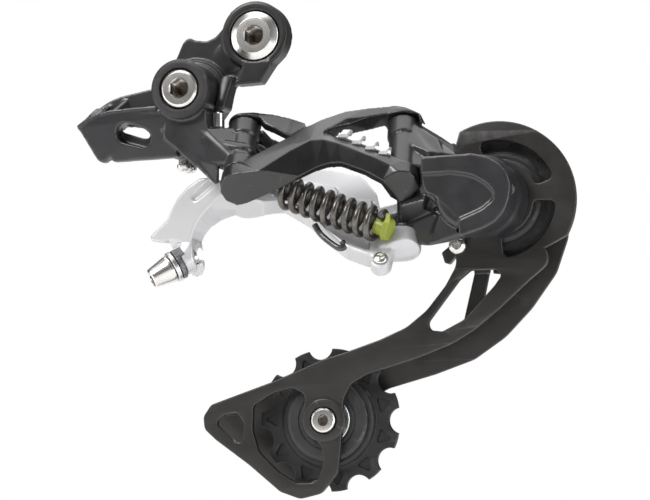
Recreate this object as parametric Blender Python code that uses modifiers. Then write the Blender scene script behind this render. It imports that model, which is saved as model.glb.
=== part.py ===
# Long-cage rear bicycle derailleur, low-profile type, cage sprung back and
# linkage relaxed outboard.  Blender 4.5, metres, +Z up.
# +X points to the front of the bicycle, +Y inboard towards the wheel, +Z up.
# The origin lies on the hanger bolt's axis, on the face that seats on the
# frame's hanger.  The helper functions take millimetres.
import math
import bmesh
import bpy
from mathutils import Matrix, Vector

MM = 0.001

# ---------------------------------------------------------------- dimensions
SEG = 28                      # sides of the larger turned parts
SEG_SMALL = 16                # sides of screws and pins
GAP = 0.35                    # running clearance between neighbouring solids

HANGER_BOLT_R = 5.0           # M10 hanger thread
HANGER_HEAD_R = 7.8
B_AXLE = (-19.8, -18.1)       # X, Z of the body's pivot on the hanger link
B_HEAD_R = 6.1
P_AXLE = (71.0, -52.2)        # X, Z of the cage pivot
GUIDE = (74.5, -52.3)         # X, Z of the guide pulley
TENSION = (19.0, -120.6)      # X, Z of the tension pulley
PLATE_OUT = (7.1, 9.5)        # Y range of the outer cage plate
PLATE_IN = (20.0, 21.8)       # Y range of the inner cage plate
PULLEY_Y = 14.75
PULLEY_TEETH = 11
PULLEY_TIP_R = 22.4
PULLEY_ROOT_R = 19.0
GUARD_R = 24.5

LINK_O = Vector((0.0, -23.0, -49.4))        # lower face of the outer link's rear ear
LINK_VEC = Vector((49.0, 8.5, 0.1))         # rear pivot to front pivot
LINK_W = 18.0                               # distance between the two links
EAR_R = 5.3
PIN_R = 2.4
BORE_R = 2.8

# the four pivots lean inboard with height; their common direction
EX = LINK_VEC.normalized()
_ay = 0.59
_az = 0.801
_ax = -(LINK_VEC.y * _ay + LINK_VEC.z * _az) / LINK_VEC.x
EZ = Vector((_ax, _ay, _az)).normalized()
EY = EZ.cross(EX)
LINK_LEN = LINK_VEC.length

# cable anchor on the arm of the inner link
ANCHOR = Vector((-23.1, -8.6, -71.3))
ANCHOR_DIR = Vector((-0.76, -0.42, -0.48)).normalized()



def L(s, t, c):
    """Point in the linkage's own frame: along the link, across, along the pins."""
    return LINK_O + EX * s + EY * t + EZ * c


SPRING_A = L(12.4, 8.3, 5.8)
SPRING_B = L(43.6, 8.3, -9.4)


# ------------------------------------------------------------------- helpers
def clear_scene():
    for obj in list(bpy.data.objects):
        bpy.data.objects.remove(obj, do_unlink=True)


PARTS = bpy.data.collections.new("rear_derailleur")


def link_in(obj):
    PARTS.objects.link(obj)
    return obj


def from_bmesh(bm, name="piece"):
    me = bpy.data.meshes.new(name)
    bm.to_mesh(me)
    bm.free()
    return link_in(bpy.data.objects.new(name, me))


def bake(obj):
    """Replace an object by its evaluated mesh, in world coordinates."""
    bpy.context.view_layer.update()
    dg = bpy.context.evaluated_depsgraph_get()
    me = bpy.data.meshes.new_from_object(obj.evaluated_get(dg))
    me.transform(obj.matrix_world)
    bm = bmesh.new()
    bm.from_mesh(me)
    bmesh.ops.remove_doubles(bm, verts=bm.verts, dist=2e-6)
    bmesh.ops.dissolve_degenerate(bm, edges=bm.edges, dist=1e-6)
    bm.to_mesh(me)
    bm.free()
    name = obj.name
    old = obj.data
    bpy.data.objects.remove(obj, do_unlink=True)
    if isinstance(old, bpy.types.Curve):
        bpy.data.curves.remove(old)
    else:
        bpy.data.meshes.remove(old)
    new = bpy.data.objects.new(name, me)
    return link_in(new)


def frame(origin, z, x=None):
    """Matrix in metres whose local +Z runs along z and +X near x."""
    z = Vector(z).normalized()
    x = Vector(x) if x is not None else Vector((1, 0, 0))
    if abs(x.normalized().dot(z)) > 0.98:
        x = Vector((0, 0, 1))
    y = z.cross(x).normalized()
    x = y.cross(z).normalized()
    m = Matrix((x, y, z)).transposed().to_4x4()
    m.translation = Vector(origin) * MM
    return m


# local x = world X, local y = world Z, local z = outboard (-Y)
def side_frame(x, z, y=0.0):
    return frame((x, y, z), (0, -1, 0), (1, 0, 0))


LINK_SHELL = frame(LINK_O, -EY, EX)      # local x = along link, y = along pins, z = -t


def cyl(p0, p1, r0, r1=None, seg=SEG):
    """Cylinder or cone from point p0 to point p1."""
    r1 = r0 if r1 is None else r1
    p0, p1 = Vector(p0), Vector(p1)
    d = p1 - p0
    bm = bmesh.new()
    bmesh.ops.create_cone(bm, cap_ends=True, segments=seg, radius1=r0 * MM, radius2=r1 * MM,
                          depth=d.length * MM, matrix=frame((p0 + p1) / 2, d))
    return from_bmesh(bm)


def ycyl(xz, y0, y1, r0, r1=None, seg=SEG):
    return cyl((xz[0], y0, xz[1]), (xz[0], y1, xz[1]), r0, r1, seg)


def hexrod(p0, p1, flats, seg=6):
    return cyl(p0, p1, flats / 2 / math.cos(math.pi / 6), seg=seg)


def ring_points(p, axis, r, n=14, x=None):
    m = frame(p, axis, x)
    return [m @ (Vector((math.cos(a), math.sin(a), 0)) * r * MM) / MM
            for a in (2 * math.pi * i / n for i in range(n))]


def hull(points):
    """Convex solid round a set of points."""
    bm = bmesh.new()
    for p in points:
        bm.verts.new(Vector(p) * MM)
    res = bmesh.ops.convex_hull(bm, input=bm.verts, use_existing_faces=False)
    loose = [g for g in res["geom_interior"] + res["geom_unused"] if isinstance(g, bmesh.types.BMVert)]
    bmesh.ops.delete(bm, geom=list(set(loose)), context="VERTS")
    bmesh.ops.dissolve_limit(bm, angle_limit=math.radians(0.6), verts=bm.verts, edges=bm.edges)
    bmesh.ops.recalc_face_normals(bm, faces=bm.faces)
    return from_bmesh(bm)


def disc_pts(p, axis, r, h0, h1, n=14):
    """Rim points of a disc lying between heights h0 and h1 along its axis."""
    a = Vector(axis).normalized()
    p = Vector(p)
    return ring_points(p + a * h0, a, r, n) + ring_points(p + a * h1, a, r, n)


def ldisc(s, t, c0, c1, r, n=14):
    """Rim points of a disc square to the pins, in the linkage's frame."""
    return ring_points(L(s, t, c0), EZ, r, n) + ring_points(L(s, t, c1), EZ, r, n)


def box_pts(xs, ys, zs):
    return [Vector((x, y, z)) for x in xs for y in ys for z in zs]


def fillet(points, steps=4):
    """Outline whose corners (x, y, radius) are rounded by arcs."""
    out = []
    n = len(points)
    for i, p in enumerate(points):
        x, y = p[0], p[1]
        r = p[2] if len(p) > 2 else 0
        if r <= 0:
            out.append((x, y))
            continue
        a = Vector((points[i - 1][0] - x, points[i - 1][1] - y))
        b = Vector((points[(i + 1) % n][0] - x, points[(i + 1) % n][1] - y))
        la, lb = a.length, b.length
        a.normalize()
        b.normalize()
        ang = math.acos(max(-1, min(1, a.dot(b))))
        if ang > math.radians(176) or ang < math.radians(4):
            out.append((x, y))
            continue
        k = min(r / math.tan(ang / 2), la * 0.49, lb * 0.49)
        rr = k * math.tan(ang / 2)
        centre = Vector((x, y)) + (a + b).normalized() * (rr / math.sin(ang / 2))
        s = Vector((x, y)) + a * k - centre
        e = Vector((x, y)) + b * k - centre
        turn = math.atan2(s.x * e.y - s.y * e.x, s.dot(e))
        for j in range(steps + 1):
            t = turn * j / steps
            out.append((centre.x + s.x * math.cos(t) - s.y * math.sin(t),
                        centre.y + s.x * math.sin(t) + s.y * math.cos(t)))
    return out


def circle(x, y, r, n=SEG):
    return [(x + r * math.cos(2 * math.pi * i / n), y + r * math.sin(2 * math.pi * i / n)) for i in range(n)]


def arc(x, y, r, a0, a1, n):
    return [(x + r * math.cos(math.radians(a0 + (a1 - a0) * i / n)),
             y + r * math.sin(math.radians(a0 + (a1 - a0) * i / n))) for i in range(n + 1)]


def plate(outline, z0, z1, matrix, holes=()):
    """Flat outline with holes, extruded from z0 to z1 in the frame given."""
    cu = bpy.data.curves.new("outline", "CURVE")
    cu.dimensions = "2D"
    cu.fill_mode = "BOTH"
    cu.extrude = abs(z1 - z0) / 2 * MM
    for loop in [outline] + list(holes):
        sp = cu.splines.new("POLY")
        sp.points.add(len(loop) - 1)
        for q, (x, y) in zip(sp.points, loop):
            q.co = (x * MM, y * MM, 0, 1)
        sp.use_cyclic_u = True
    ob = link_in(bpy.data.objects.new("outline", cu))
    ob.matrix_world = matrix @ Matrix.Translation((0, 0, (z0 + z1) / 2 * MM))
    ob = bake(ob)
    bm = bmesh.new()
    bm.from_mesh(ob.data)
    bmesh.ops.remove_doubles(bm, verts=bm.verts, dist=5e-6)
    bmesh.ops.recalc_face_normals(bm, faces=bm.faces)
    bm.to_mesh(ob.data)
    bm.free()
    return ob


def yplate(outline, y0, y1, holes=()):
    """Outline in X and Z, extruded from y0 to y1."""
    return plate(outline, -y1, -y0, side_frame(0, 0), holes)


def turned(profile, matrix, seg=SEG, closed=False):
    """Profile of (radius, height), outer side running downwards, turned about local Z."""
    bm = bmesh.new()
    vs = [bm.verts.new((r * MM, 0, h * MM)) for r, h in profile]
    for a, b in zip(vs, vs[1:]):
        bm.edges.new((a, b))
    if closed:
        bm.edges.new((vs[-1], vs[0]))
    ob = from_bmesh(bm, "turned")
    mod = ob.modifiers.new("turn", "SCREW")
    mod.axis = "Z"
    mod.steps = mod.render_steps = seg
    mod.use_merge_vertices = True
    mod.merge_threshold = 1e-6
    ob.matrix_world = matrix
    return bake(ob)


def yturned(profile, xz, seg=SEG, closed=False):
    """Turned about the Y axis through (x, z); heights count outboard."""
    return turned(profile, side_frame(xz[0], xz[1]), seg, closed)


def ring(xz, y0, y1, r_in, r_out, seg=SEG):
    """Plain ring about the Y direction, y0 < y1."""
    return yturned([(r_in, -y0), (r_out, -y0), (r_out, -y1), (r_in, -y1)], xz, seg, closed=True)


def tube(points, r, res=2, cyclic=False):
    cu = bpy.data.curves.new("wire", "CURVE")
    cu.dimensions = "3D"
    cu.bevel_depth = r * MM
    cu.bevel_resolution = res
    cu.use_fill_caps = True
    cu.twist_mode = "MINIMUM"
    sp = cu.splines.new("POLY")
    sp.points.add(len(points) - 1)
    for q, p in zip(sp.points, points):
        q.co = (p[0] * MM, p[1] * MM, p[2] * MM, 1)
    sp.use_cyclic_u = cyclic
    ob = link_in(bpy.data.objects.new("wire", cu))
    return bake(ob)


def combine(obj, others, operation):
    """Join others to obj, or cut them from it, one exact Boolean at a time."""
    for other in others:
        mod = obj.modifiers.new("b", "BOOLEAN")
        mod.operation = operation
        mod.solver = "EXACT"
        mod.object = other
        obj = bake(obj)
        old = other.data
        bpy.data.objects.remove(other, do_unlink=True)
        bpy.data.meshes.remove(old)
    return obj


def union(obj, *others):
    return combine(obj, others, "UNION")


def cut(obj, *others):
    return combine(obj, others, "DIFFERENCE")


def material(name, rgb, rough, metal):
    m = bpy.data.materials.get(name) or bpy.data.materials.new(name)
    m.use_nodes = True
    b = m.node_tree.nodes["Principled BSDF"]
    b.inputs["Base Color"].default_value = (*rgb, 1)
    b.inputs["Roughness"].default_value = rough
    b.inputs["Metallic"].default_value = metal
    m.diffuse_color = (*rgb, 1)
    return m


def finish(obj, name, mat, origin=(0, 0, 0), body=None):
    """Name the part, put its origin on its axis and give it its material."""
    o = Vector(origin) * MM
    obj.name = name
    obj.data.name = name
    obj.data.transform(Matrix.Translation(-o))
    obj.location = o
    bm = bmesh.new()
    bm.from_mesh(obj.data)
    bmesh.ops.remove_doubles(bm, verts=bm.verts, dist=3e-6)
    bmesh.ops.dissolve_degenerate(bm, edges=bm.edges, dist=2e-6)
    bmesh.ops.dissolve_limit(bm, angle_limit=math.radians(0.4), verts=bm.verts, edges=bm.edges)
    bmesh.ops.triangulate(bm, faces=bm.faces)
    bm.to_mesh(obj.data)
    bm.free()
    obj.data.materials.clear()
    obj.data.materials.append(mat)
    obj.data.shade_smooth()
    obj.data.set_sharp_from_angle(angle=math.radians(32))
    if body is not None:
        obj.parent = body
        obj.matrix_parent_inverse = body.matrix_world.inverted()
    return obj


def empty(name, at):
    e = bpy.data.objects.new(name, None)
    e.empty_display_size = 0.01
    e.location = Vector(at) * MM
    link_in(e)
    bpy.context.view_layer.update()
    return e


# --------------------------------------------------------------- start
clear_scene()
bpy.context.scene.collection.children.link(PARTS)

BLACK = material("satin_black_metal", (0.030, 0.028, 0.029), 0.42, 0.55)
GREY = material("dark_grey_metal", (0.055, 0.055, 0.062), 0.38, 0.6)
CAGE = material("black_cage_metal", (0.035, 0.032, 0.030), 0.45, 0.5)
SILVER = material("silver_painted_metal", (0.72, 0.73, 0.75), 0.38, 0.6)
STEEL = material("bright_steel", (0.70, 0.69, 0.66), 0.25, 1.0)
DARKSTEEL = material("spring_steel", (0.16, 0.15, 0.13), 0.35, 0.9)
RESIN = material("black_resin", (0.022, 0.021, 0.021), 0.5, 0.0)
GREEN = material("green_plastic", (0.42, 0.55, 0.10), 0.4, 0.0)
RUBBER = material("black_rubber", (0.02, 0.02, 0.02), 0.7, 0.0)

J_HANGER = empty("hanger_axis", (0, 0, 0))
J_B = empty("b_axis", (B_AXLE[0], -13, B_AXLE[1]))
J_OUT = empty("outer_link_axis", L(0, 0, 15))
J_IN = empty("inner_link_axis", L(0, LINK_W, 10))
J_PB = empty("p_body_axis", L(LINK_LEN, 0, 15))
J_CAGE = empty("cage_axis", (P_AXLE[0], 7, P_AXLE[1]))
J_GP = empty("guide_pulley_axis", (GUIDE[0], PULLEY_Y, GUIDE[1]))
J_TP = empty("tension_pulley_axis", (TENSION[0], PULLEY_Y, TENSION[1]))

# --------------------------------------------------------------- hanger link
bx, bz = B_AXLE
b_link = ycyl((0, 0), -6.6, 0, 10.3)
web = yplate(fillet([(-9.0, 5.0, 2), (-13.0, 0.4, 3), (-19.0, -0.9, 3), (-25.6, -5.6, 3), (-31.0, -13.0, 6),
                     (-31.4, -21.5, 7), (-25.5, -29.3, 7), (-15.5, -29.4, 7), (-9.6, -23.0, 5), (-7.3, -14.6, 2),
                     (1.6, -14.6, 2.5), (5.8, -9.0, 2), (7.5, -6.5, 2)], 3), -5.6, -0.4)
lug = hull([(x, y, z) for x, z in ((-6.6, -15.4), (2.0, -14.8), (5.6, -9.4), (-1, -6)) for y in (-7.4, -1.0)])
tab = hull(disc_pts((-9.1, 0, -22.6), (0, 1, 0), 1.5, -13.4, -5.2, 10)
           + disc_pts((-8.2, 0, -14.5), (0, 1, 0), 2.1, -10.5, -5.2, 10))
b_link = union(b_link, web, lug, tab)
b_link = cut(b_link,
             ycyl((0, 0), -9, -4.2, HANGER_HEAD_R + GAP),
             ycyl((0, 0), -10, 4, HANGER_BOLT_R + GAP),
             ycyl((0, 0), -1.5, 2, 7.2),
             ycyl(B_AXLE, -8, 3, 4.1))
finish(b_link, "b_link", BLACK, (0, 0, 0), J_HANGER)

bolt = yturned([(0, 8.2), (6.9, 8.2), (HANGER_HEAD_R, 7.3), (HANGER_HEAD_R, 4.6), (HANGER_BOLT_R, 4.6),
                (HANGER_BOLT_R, -8.3), (HANGER_BOLT_R - 0.8, -9.2), (0, -9.2)], (0, 0))
bolt = cut(bolt, hexrod((0, -9, 0), (0, -4.2, 0), 5.0))
finish(bolt, "hanger_bolt", STEEL, (0, 0, 0), J_HANGER)
finish(ring((0, 0), -1.25, -0.25, HANGER_BOLT_R + GAP, 6.8, SEG), "hanger_bolt_clip", DARKSTEEL, (0, 0, 0), J_HANGER)

b_bolt = yturned([(0, 22.3), (5.3, 22.3), (B_HEAD_R, 21.6), (B_HEAD_R, 20.0), (3.75, 20.0), (3.75, 0.6), (3.2, 0.1), (0, 0.1)],
                 B_AXLE)
b_bolt = cut(b_bolt, hexrod((bx, -23, bz), (bx, -18.6, bz), 5.0))
finish(b_bolt, "b_axle_bolt", STEEL, (bx, 0, bz), J_HANGER)

# --------------------------------------------------------------- bracket body
finish(yturned([(6.5, 22.1), (8.0, 22.1), (8.8, 21.3), (8.8, 20.0), (6.5, 20.0)], B_AXLE, SEG, True),
       "b_axle_cap_ring", RESIN, (bx, -20, bz), J_B)
finish(ring(B_AXLE, -19.3, -6.6, 4.1, 5.5, SEG_SMALL), "b_axle_bushing", STEEL, (bx, -13, bz), J_B)

body = ycyl(B_AXLE, -19.6, -6.2, 8.8)
arm = hull([(-49.2, -16.4, -23.2), (-49.2, -7.6, -22.8), (-56.4, -15.6, -28.2), (-56.4, -8.6, -28.0),
            (-48.6, -14.4, -39.0), (-48.6, -10.6, -39.0), (-44.6, -15.0, -21.2), (-44.6, -7.0, -21.2),
            (-31.5, -14.0, -17.6), (-31.5, -7.0, -17.6), (-21.9, -15.2, -38.6), (-21.9, -9.4, -38.6),
            (-31.0, -17.4, -23.0), (-24.0, -17.4, -30.0), (-24, -7.0, -27.0)])
wedge = hull([(x, y, z) for x, z in ((-27.4, -33.2), (-25.0, -22.0), (-12.2, -24.6), (-11.8, -41.0), (-16.6, -42.4))
              for y in (-19.4, -9.0)])
toe = hull([(x, y, z) for x, z in ((-20.6, -38.4), (-11.8, -36.0), (-7.6, -41.4), (-7.4, -47.6), (-9.6, -48.2))
            for y in (-20.2, -18.7)])
knuckle_o = hull(ldisc(0, 0, 5.6, 25.4, 4.3))
knuckle_i = hull(ldisc(0, LINK_W, 12.0, 19.6, 4.3))
web_b = hull(ldisc(0, 0, 13.6, 19.6, 2.4, 10) + ldisc(0, LINK_W, 13.6, 19.2, 2.4, 10))
bridge = hull(ldisc(-0.6, 0, 8.0, 22.0, 3.2, 10)
              + [(x, y, z) for x in (-14.5, -12.2) for y in (-18.6, -9.4) for z in (-40.6, -30.5)])
# housing behind the rear pivots, kept clear of both links' sweep
house = union(hull([L(q, t, c) for q, t in ((-3.8, 3.0), (3.2, 3.0), (9.2, 7.8), (9.2, 12.2), (-3.8, 12.2)) for c in (16.0, 24.8)]),
              hull([L(q, t, c) for q, t in ((4.0, 6.0), (8.6, 7.4), (13.0, 11.2), (13.0, 12.2), (0.0, 12.2)) for c in (17.4, 27.4)]))
limit_boss = hull(box_pts((-26.0, -17.6), (-14.0, -1.0), (-38.4, -33.0)) + box_pts((-24.0, -18.0), (-14, -8), (-30.5, -31)))
screw_lug = hull(box_pts((-14.5, -7.6), (-15.0, -9.0), (-35.0, -29.4)))
body = union(body, arm, wedge, toe, knuckle_o, knuckle_i, web_b, bridge, house, limit_boss, screw_lug)
body = cut(body,
           ycyl(B_AXLE, -25, 0, 5.8, seg=SEG),
           hull(disc_pts((-41.2, 0, -31.2), (0, 1, 0), 2.8, -22, 2, 12) + disc_pts((-35.4, 0, -33.0), (0, 1, 0), 2.8, -22, 2, 12)),
           cyl((-57.0, -13.5, -18.7), (-47.5, -10.6, -31.1), 2.5, seg=SEG_SMALL),
           cyl(L(0, 0, 3), L(0, 0, 28), BORE_R, seg=SEG_SMALL),
           cyl(L(0, LINK_W, -1), L(0, LINK_W, 22), BORE_R, seg=SEG_SMALL),
           cyl((-10.1, -12, -40), (-10.1, -12, -25), 2.35, seg=12),
           cyl((-10.1, -12, -42), (-10.1, -12, -35.3), 3.6, seg=SEG_SMALL),
           cyl((-22.0, -9.8, -42), (-22.0, -9.8, -32.0), 2.05, seg=12),
           cyl((-22.0, -4.2, -42), (-22.0, -4.2, -32.0), 2.05, seg=12))
finish(body, "bracket_body", GREY, (bx, -13, bz), J_B)


def screw(tip, head, r, head_r, head_h, cross=True):
    """Pan-head screw from its tip to the underside of its head."""
    tip, head = Vector(tip), Vector(head)
    d = (head - tip).normalized()
    length = (head - tip).length
    m = frame(tip, d)
    ob = turned([(0, length + head_h), (head_r * 0.7, length + head_h), (head_r, length + head_h * 0.55),
                 (head_r, length), (r, length), (r, 0.5), (r - 0.45, 0), (0, 0)], m, SEG_SMALL)
    if cross:
        top = head + d * head_h
        x = m.to_3x3() @ Vector((1, 0, 0))
        y = m.to_3x3() @ Vector((0, 1, 0))
        w = head_r * 0.16
        k = head_r * 0.62
        for u, v in ((x, y), (y, x)):
            pts = [top + u * (k * i) + v * (w * j) + d * (h) for i in (-1, 1) for j in (-1, 1) for h in (-0.8, 0.6)]
            ob = cut(ob, hull(pts))
    return ob


finish(screw((-10.1, -12, -24.7), (-10.1, -12, -37.2), 2.0, 3.1, 1.9), "b_tension_screw", STEEL, (-10.1, -12, -30), J_B)
finish(screw((-22.0, -9.8, -32.4), (-22.0, -9.8, -40.6), 1.7, 2.2, 1.9), "limit_screw_high", STEEL, (-22.3, -9.8, -37), J_B)
finish(screw((-22.0, -4.2, -32.4), (-22.0, -4.2, -40.6), 1.7, 2.2, 1.9), "limit_screw_low", STEEL, (-22.3, -4.2, -37), J_B)

# pins, held in the bodies and turning in the links' ears
finish(cyl(L(0, 0, 1.8), L(0, 0, 28.2), PIN_R, seg=SEG_SMALL), "outer_link_rear_pin", STEEL, L(0, 0, 15), J_B)
finish(cyl(L(0, LINK_W, 8.4), L(0, LINK_W, 23.8), PIN_R, seg=SEG_SMALL), "inner_link_rear_pin", STEEL, L(0, LINK_W, 10), J_B)
finish(cyl(L(LINK_LEN, 0, 1.8), L(LINK_LEN, 0, 28.2), PIN_R, seg=SEG_SMALL), "outer_link_front_pin", STEEL, L(LINK_LEN, 0, 15), J_PB)
finish(cyl(L(LINK_LEN, LINK_W, -8.4), L(LINK_LEN, LINK_W, 4.8), PIN_R, seg=SEG_SMALL), "inner_link_front_pin", STEEL,
       L(LINK_LEN, LINK_W, 5), J_PB)

# --------------------------------------------------------------- outer link
E = LINK_LEN
shell = plate(fillet([(-5.0, 0.2, 2), (15.5, 0.2, 5), (23.5, 4.6, 6), (31.0, 5.8, 6), (37.5, 4.4, 5), (43.0, 0.2, 3),
                      (E - 1.5, 0.2, 0), (E - 1.5, 28.8, 0), (46.0, 29.4, 2), (36.0, 28.0, 5), (27.0, 24.4, 5), (19.5, 21.8, 4),
                      (10.0, 26.6, 4), (4.0, 28.8, 3), (-2.4, 28.8, 1), (-2.4, 24.6, 1), (6.4, 22.8, 3), (13.0, 17.8, 2), (13.6, 14.2, 2),
                      (9.0, 8.2, 5), (4.0, 5.0, 2), (-4.4, 5.0, 1)], 3),
              4.9, 8.0, LINK_SHELL,
              [fillet([(30.0, 15.6, 1.5), (E - 4.2, 24.0, 1.5), (E - 3.6, 10.4, 2), (38.5, 13.4, 3)], 3)])
rib = plate(fillet([(-3.6, 1.4, 1), (14.0, 5.2, 8), (25.0, 8.2, 8), (33.0, 7.8, 6), (E - 2.4, 1.2, 0), (E - 2.4, 4.4, 0),
                    (34.0, 12.0, 8), (24.0, 14.2, 8), (12.0, 10.2, 8), (-3.6, 4.6, 1)], 3), 6.0, 8.9, LINK_SHELL)
ears = []
for s in (0, E):
    for c0, c1 in ((0, 5.2), (25.8, 29)):
        ext = -5.0 if c0 == 0 or s else -2.6
        ears.append(hull(ldisc(s, 0, c0, c1, EAR_R)
                         + [L(s + ds, -7.9, c) for ds in (ext, 2.8 if s == 0 else -1.6) for c in (c0, c1)]))
outer = union(shell, rib, *ears)
outer = cut(outer,
            cyl(L(0, 0, 1.3), L(0, 0, 33), BORE_R, seg=SEG_SMALL),
            cyl(L(E, 0, 1.3), L(E, 0, 33), BORE_R, seg=SEG_SMALL))
finish(outer, "outer_link", BLACK, L(0, 0, 15), J_OUT)
trim = plate(fillet([(33.4, 14.9, 0.5), (E - 6.4, 16.0, 0.5), (E - 6.0, 17.6, 0.5), (37.4, 17.6, 0.5)], 2), 5.6, 7.4, LINK_SHELL)
finish(trim, "outer_link_trim", SILVER, L(0, 0, 15), J_OUT)

# --------------------------------------------------------------- inner link
W = LINK_W
LINK_INNER = frame(L(0, W, 0), -EY, EX)
wall = plate(fillet([(5.2, 6.2, 1), (12.0, 6.6, 3), (20.6, 0.0, 5), (27.0, -7.4, 4), (32.5, -12.6, 4), (39.6, -15.6, 4),
                     (46.4, -15.0, 3), (47.0, -10.0, 2), (42.4, -5.4, 1), (42.4, 5.0, 1), (41.0, 12.0, 3), (36.0, 19.6, 4), (26.0, 22.4, 4),
                     (8.0, 24.2, 2), (6.0, 19.6, 1), (6.4, 12.0, 2)], 3), -1.9, 2.2, LINK_INNER)
i_rear_low = hull(ldisc(0, W, 7.4, 11.6, 5.0) + [L(8, W + t, c) for t in (-2.2, 1.9) for c in (6.4, 11.6)])
i_rear_up = hull(ldisc(0, W, 20.0, 24.4, 4.8) + [L(9, W + t, c) for t in (-2.2, 1.9) for c in (20.2, 24.0)])
i_front_low = hull(ldisc(E, W, -10.2, -5.4, 5.6) + [L(E - 10, W + t, c) for t in (-3.4, 1.9) for c in (-14.0, -5.0)])
i_front_up = hull(ldisc(E, W, 1.0, 5.0, 4.8) + [L(E - 9, W + t, c) for t in (-2.2, 1.9) for c in (1.0, 5.0)])
boss = hull([L(s, W + t, c) for s in (30.5, 39.5) for t in (-3.9, 0) for c in (2.0, 8.0)])
screw_ear = hull(disc_pts(L(E - 6.4, W - 3.2, -17.4), EY, 3.1, -0.9, 3.6, 12) + [L(s, W + t, -9) for s in (E - 9.4, E - 2.4) for t in (-3, 1.8)])
ay0, ay1 = -10.4, -6.2
arm1 = hull([(x, y, z) for x, z in ((-16.2, -47.8), (-21.5, -50.6), (-19.4, -57.8), (-11.4, -53.4)) for y in (ay0, ay1)])
arm2 = hull([(x, y, z) for x, z in ((-21.5, -50.6), (-26.2, -55.8), (-27.9, -59.6), (-20.8, -63.2), (-19.4, -57.8), (-15.4, -53)) for y in (ay0, ay1)])
arm3 = hull([(x, y, z) for x, z in ((-27.9, -59.2), (-32.2, -63.2), (-28.6, -64.4), (-20.0, -65.2), (-20.8, -61.2)) for y in (ay0, ay1)])
neck = hull([(x, y, z) for x, z in ((-11.4, -52.6), (-19.8, -58.6), (-15.8, -49.6)) for y in (ay0 + 0.4, ay1)]
            + ldisc(0, W, 7.4, 10.6, 4.4, 10))
foot = hull(disc_pts(ANCHOR, ANCHOR_DIR, 4.6, -4.4, 0, 14) + [(x, y, z) for x in (-21.6, -19.8) for y in (ay0, ay1) for z in (-63.8, -65.2)])
inner = union(wall, i_rear_low, i_rear_up, i_front_low, i_front_up, boss, screw_ear, neck, arm1, arm2, arm3, foot)
inner = cut(inner,
            cyl(L(0, W, 8.0), L(0, W, 27), BORE_R, seg=SEG_SMALL),
            cyl(L(E, W, -8.9), L(E, W, 23), BORE_R, seg=SEG_SMALL),
            cyl(ANCHOR - ANCHOR_DIR * 8, ANCHOR + ANCHOR_DIR * 3, 2.75, seg=SEG_SMALL),
            cyl(L(E - 6.4, W - 7, -17.4), L(E - 6.4, W + 3, -17.4), 1.75, seg=12),
            # clearance round the two bodies' knuckles
            cyl(L(0, W, 11.65), L(0, W, 19.95), 4.9, seg=20),
            cyl(L(E, W, -5.35), L(E, W, 0.95), 4.9, seg=20))
finish(inner, "inner_link", SILVER, L(0, W, 10), J_IN)

A, D = ANCHOR, ANCHOR_DIR
clampp = cut(cyl(A + D * 0.35, A + D * 1.8, 4.2, seg=20), cyl(A - D * 1, A + D * 3, 2.75, seg=SEG_SMALL))
finish(clampp, "cable_clamp_plate", DARKSTEEL, A, J_IN)
washer = cut(cyl(A + D * 2.15, A + D * 3.4, 4.1, seg=20), cyl(A, A + D * 5, 2.75, seg=SEG_SMALL))
finish(washer, "cable_clamp_washer", STEEL, A, J_IN)
abolt = turned([(0, 10.4), (2.7, 10.4), (3.1, 9.9), (3.9, 3.75), (2.4, 3.75), (2.4, -5.2), (0, -5.2)], frame(A, D), SEG_SMALL)
abolt = cut(abolt, hexrod(A + D * 6.6, A + D * 12, 4.0))
finish(abolt, "cable_anchor_bolt", STEEL, A, J_IN)
finish(screw(L(E - 6.4, W + 0.6, -17.4), L(E - 6.4, W - 4.4, -17.4), 1.4, 2.2, 1.0), "inner_link_screw", STEEL,
       L(E - 6.4, W, -17.4), J_IN)

# return spring: a close coil between the links with a hooked leg
ax = (SPRING_B - SPRING_A)
m = frame(SPRING_A, ax)
turns, n_turn, rs = 9.0, 12, 4.35
coil = []
for i in range(int(turns * n_turn) + 1):
    f = i / (turns * n_turn)
    a = 2 * math.pi * i / n_turn
    coil.append(m @ Vector((rs * math.cos(a) * MM, rs * math.sin(a) * MM, f * ax.length * MM)) / MM)
finish(tube(coil, 1.05, 1), "return_spring", DARKSTEEL, SPRING_A, J_IN)

# --------------------------------------------------------------- knuckle body
px, pz = P_AXLE
pb = yturned([(0, 17.4), (10.6, 17.4), (11.6, 16.4), (12.2, 6.0), (13.2, 2.0), (13.4, -1.0), (13.4, -5.8), (0, -5.8)], P_AXLE)
face = yplate(fillet([(55.4, -41.2, 1), (71.5, -40.4, 4), (80.2, -44.2, 6), (82.9, -51.0, 6), (80.8, -58.6, 5), (75.4, -63.0, 5),
                      (67.2, -65.9, 1), (60.4, -55.6, 2), (56.4, -52.6, 1.5), (55.2, -49.8, 1)], 3), -18.0, -10.4)
k_out = hull(ldisc(E, 0, 5.6, 25.4, 4.3))
k_in = hull(ldisc(E, W, -5.0, 0.6, 4.3))
k_web = hull(ldisc(E + 0.6, 0, 6.0, 12.0, 2.4, 10) + ldisc(E + 0.6, W, -4.6, 0.2, 2.4, 10))
shoulder = hull(ldisc(E + 1.2, 0.2, 14.0, 25.2, 3.0, 10) + [(x, y, z) for x, y, z in (
    (66.0, -4.0, -39.6), (62.0, -9.0, -41.5), (68.0, 2.0, -40.6), (60.0, 2.0, -46.0), (60.0, -9.0, -47.0))])
mid = hull(ldisc(E + 1.2, 0.2, 6.2, 14.0, 3.0, 10) + [(x, y, z) for x in (59.0, 64.0) for y in (-11.0, 0.0) for z in (-56.0, -44.0)])
low = hull(ldisc(E + 0.6, W, -4.6, 0.4, 3.6, 10) + [(x, y, z) for x, y, z in (
    (58.0, -10.0, -66.6), (66.6, -10.0, -65.4), (66.0, 2.6, -64.6), (60.6, 2.6, -64.0), (62.0, -10.0, -56.0), (64.0, 3.0, -52.0))])
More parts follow.
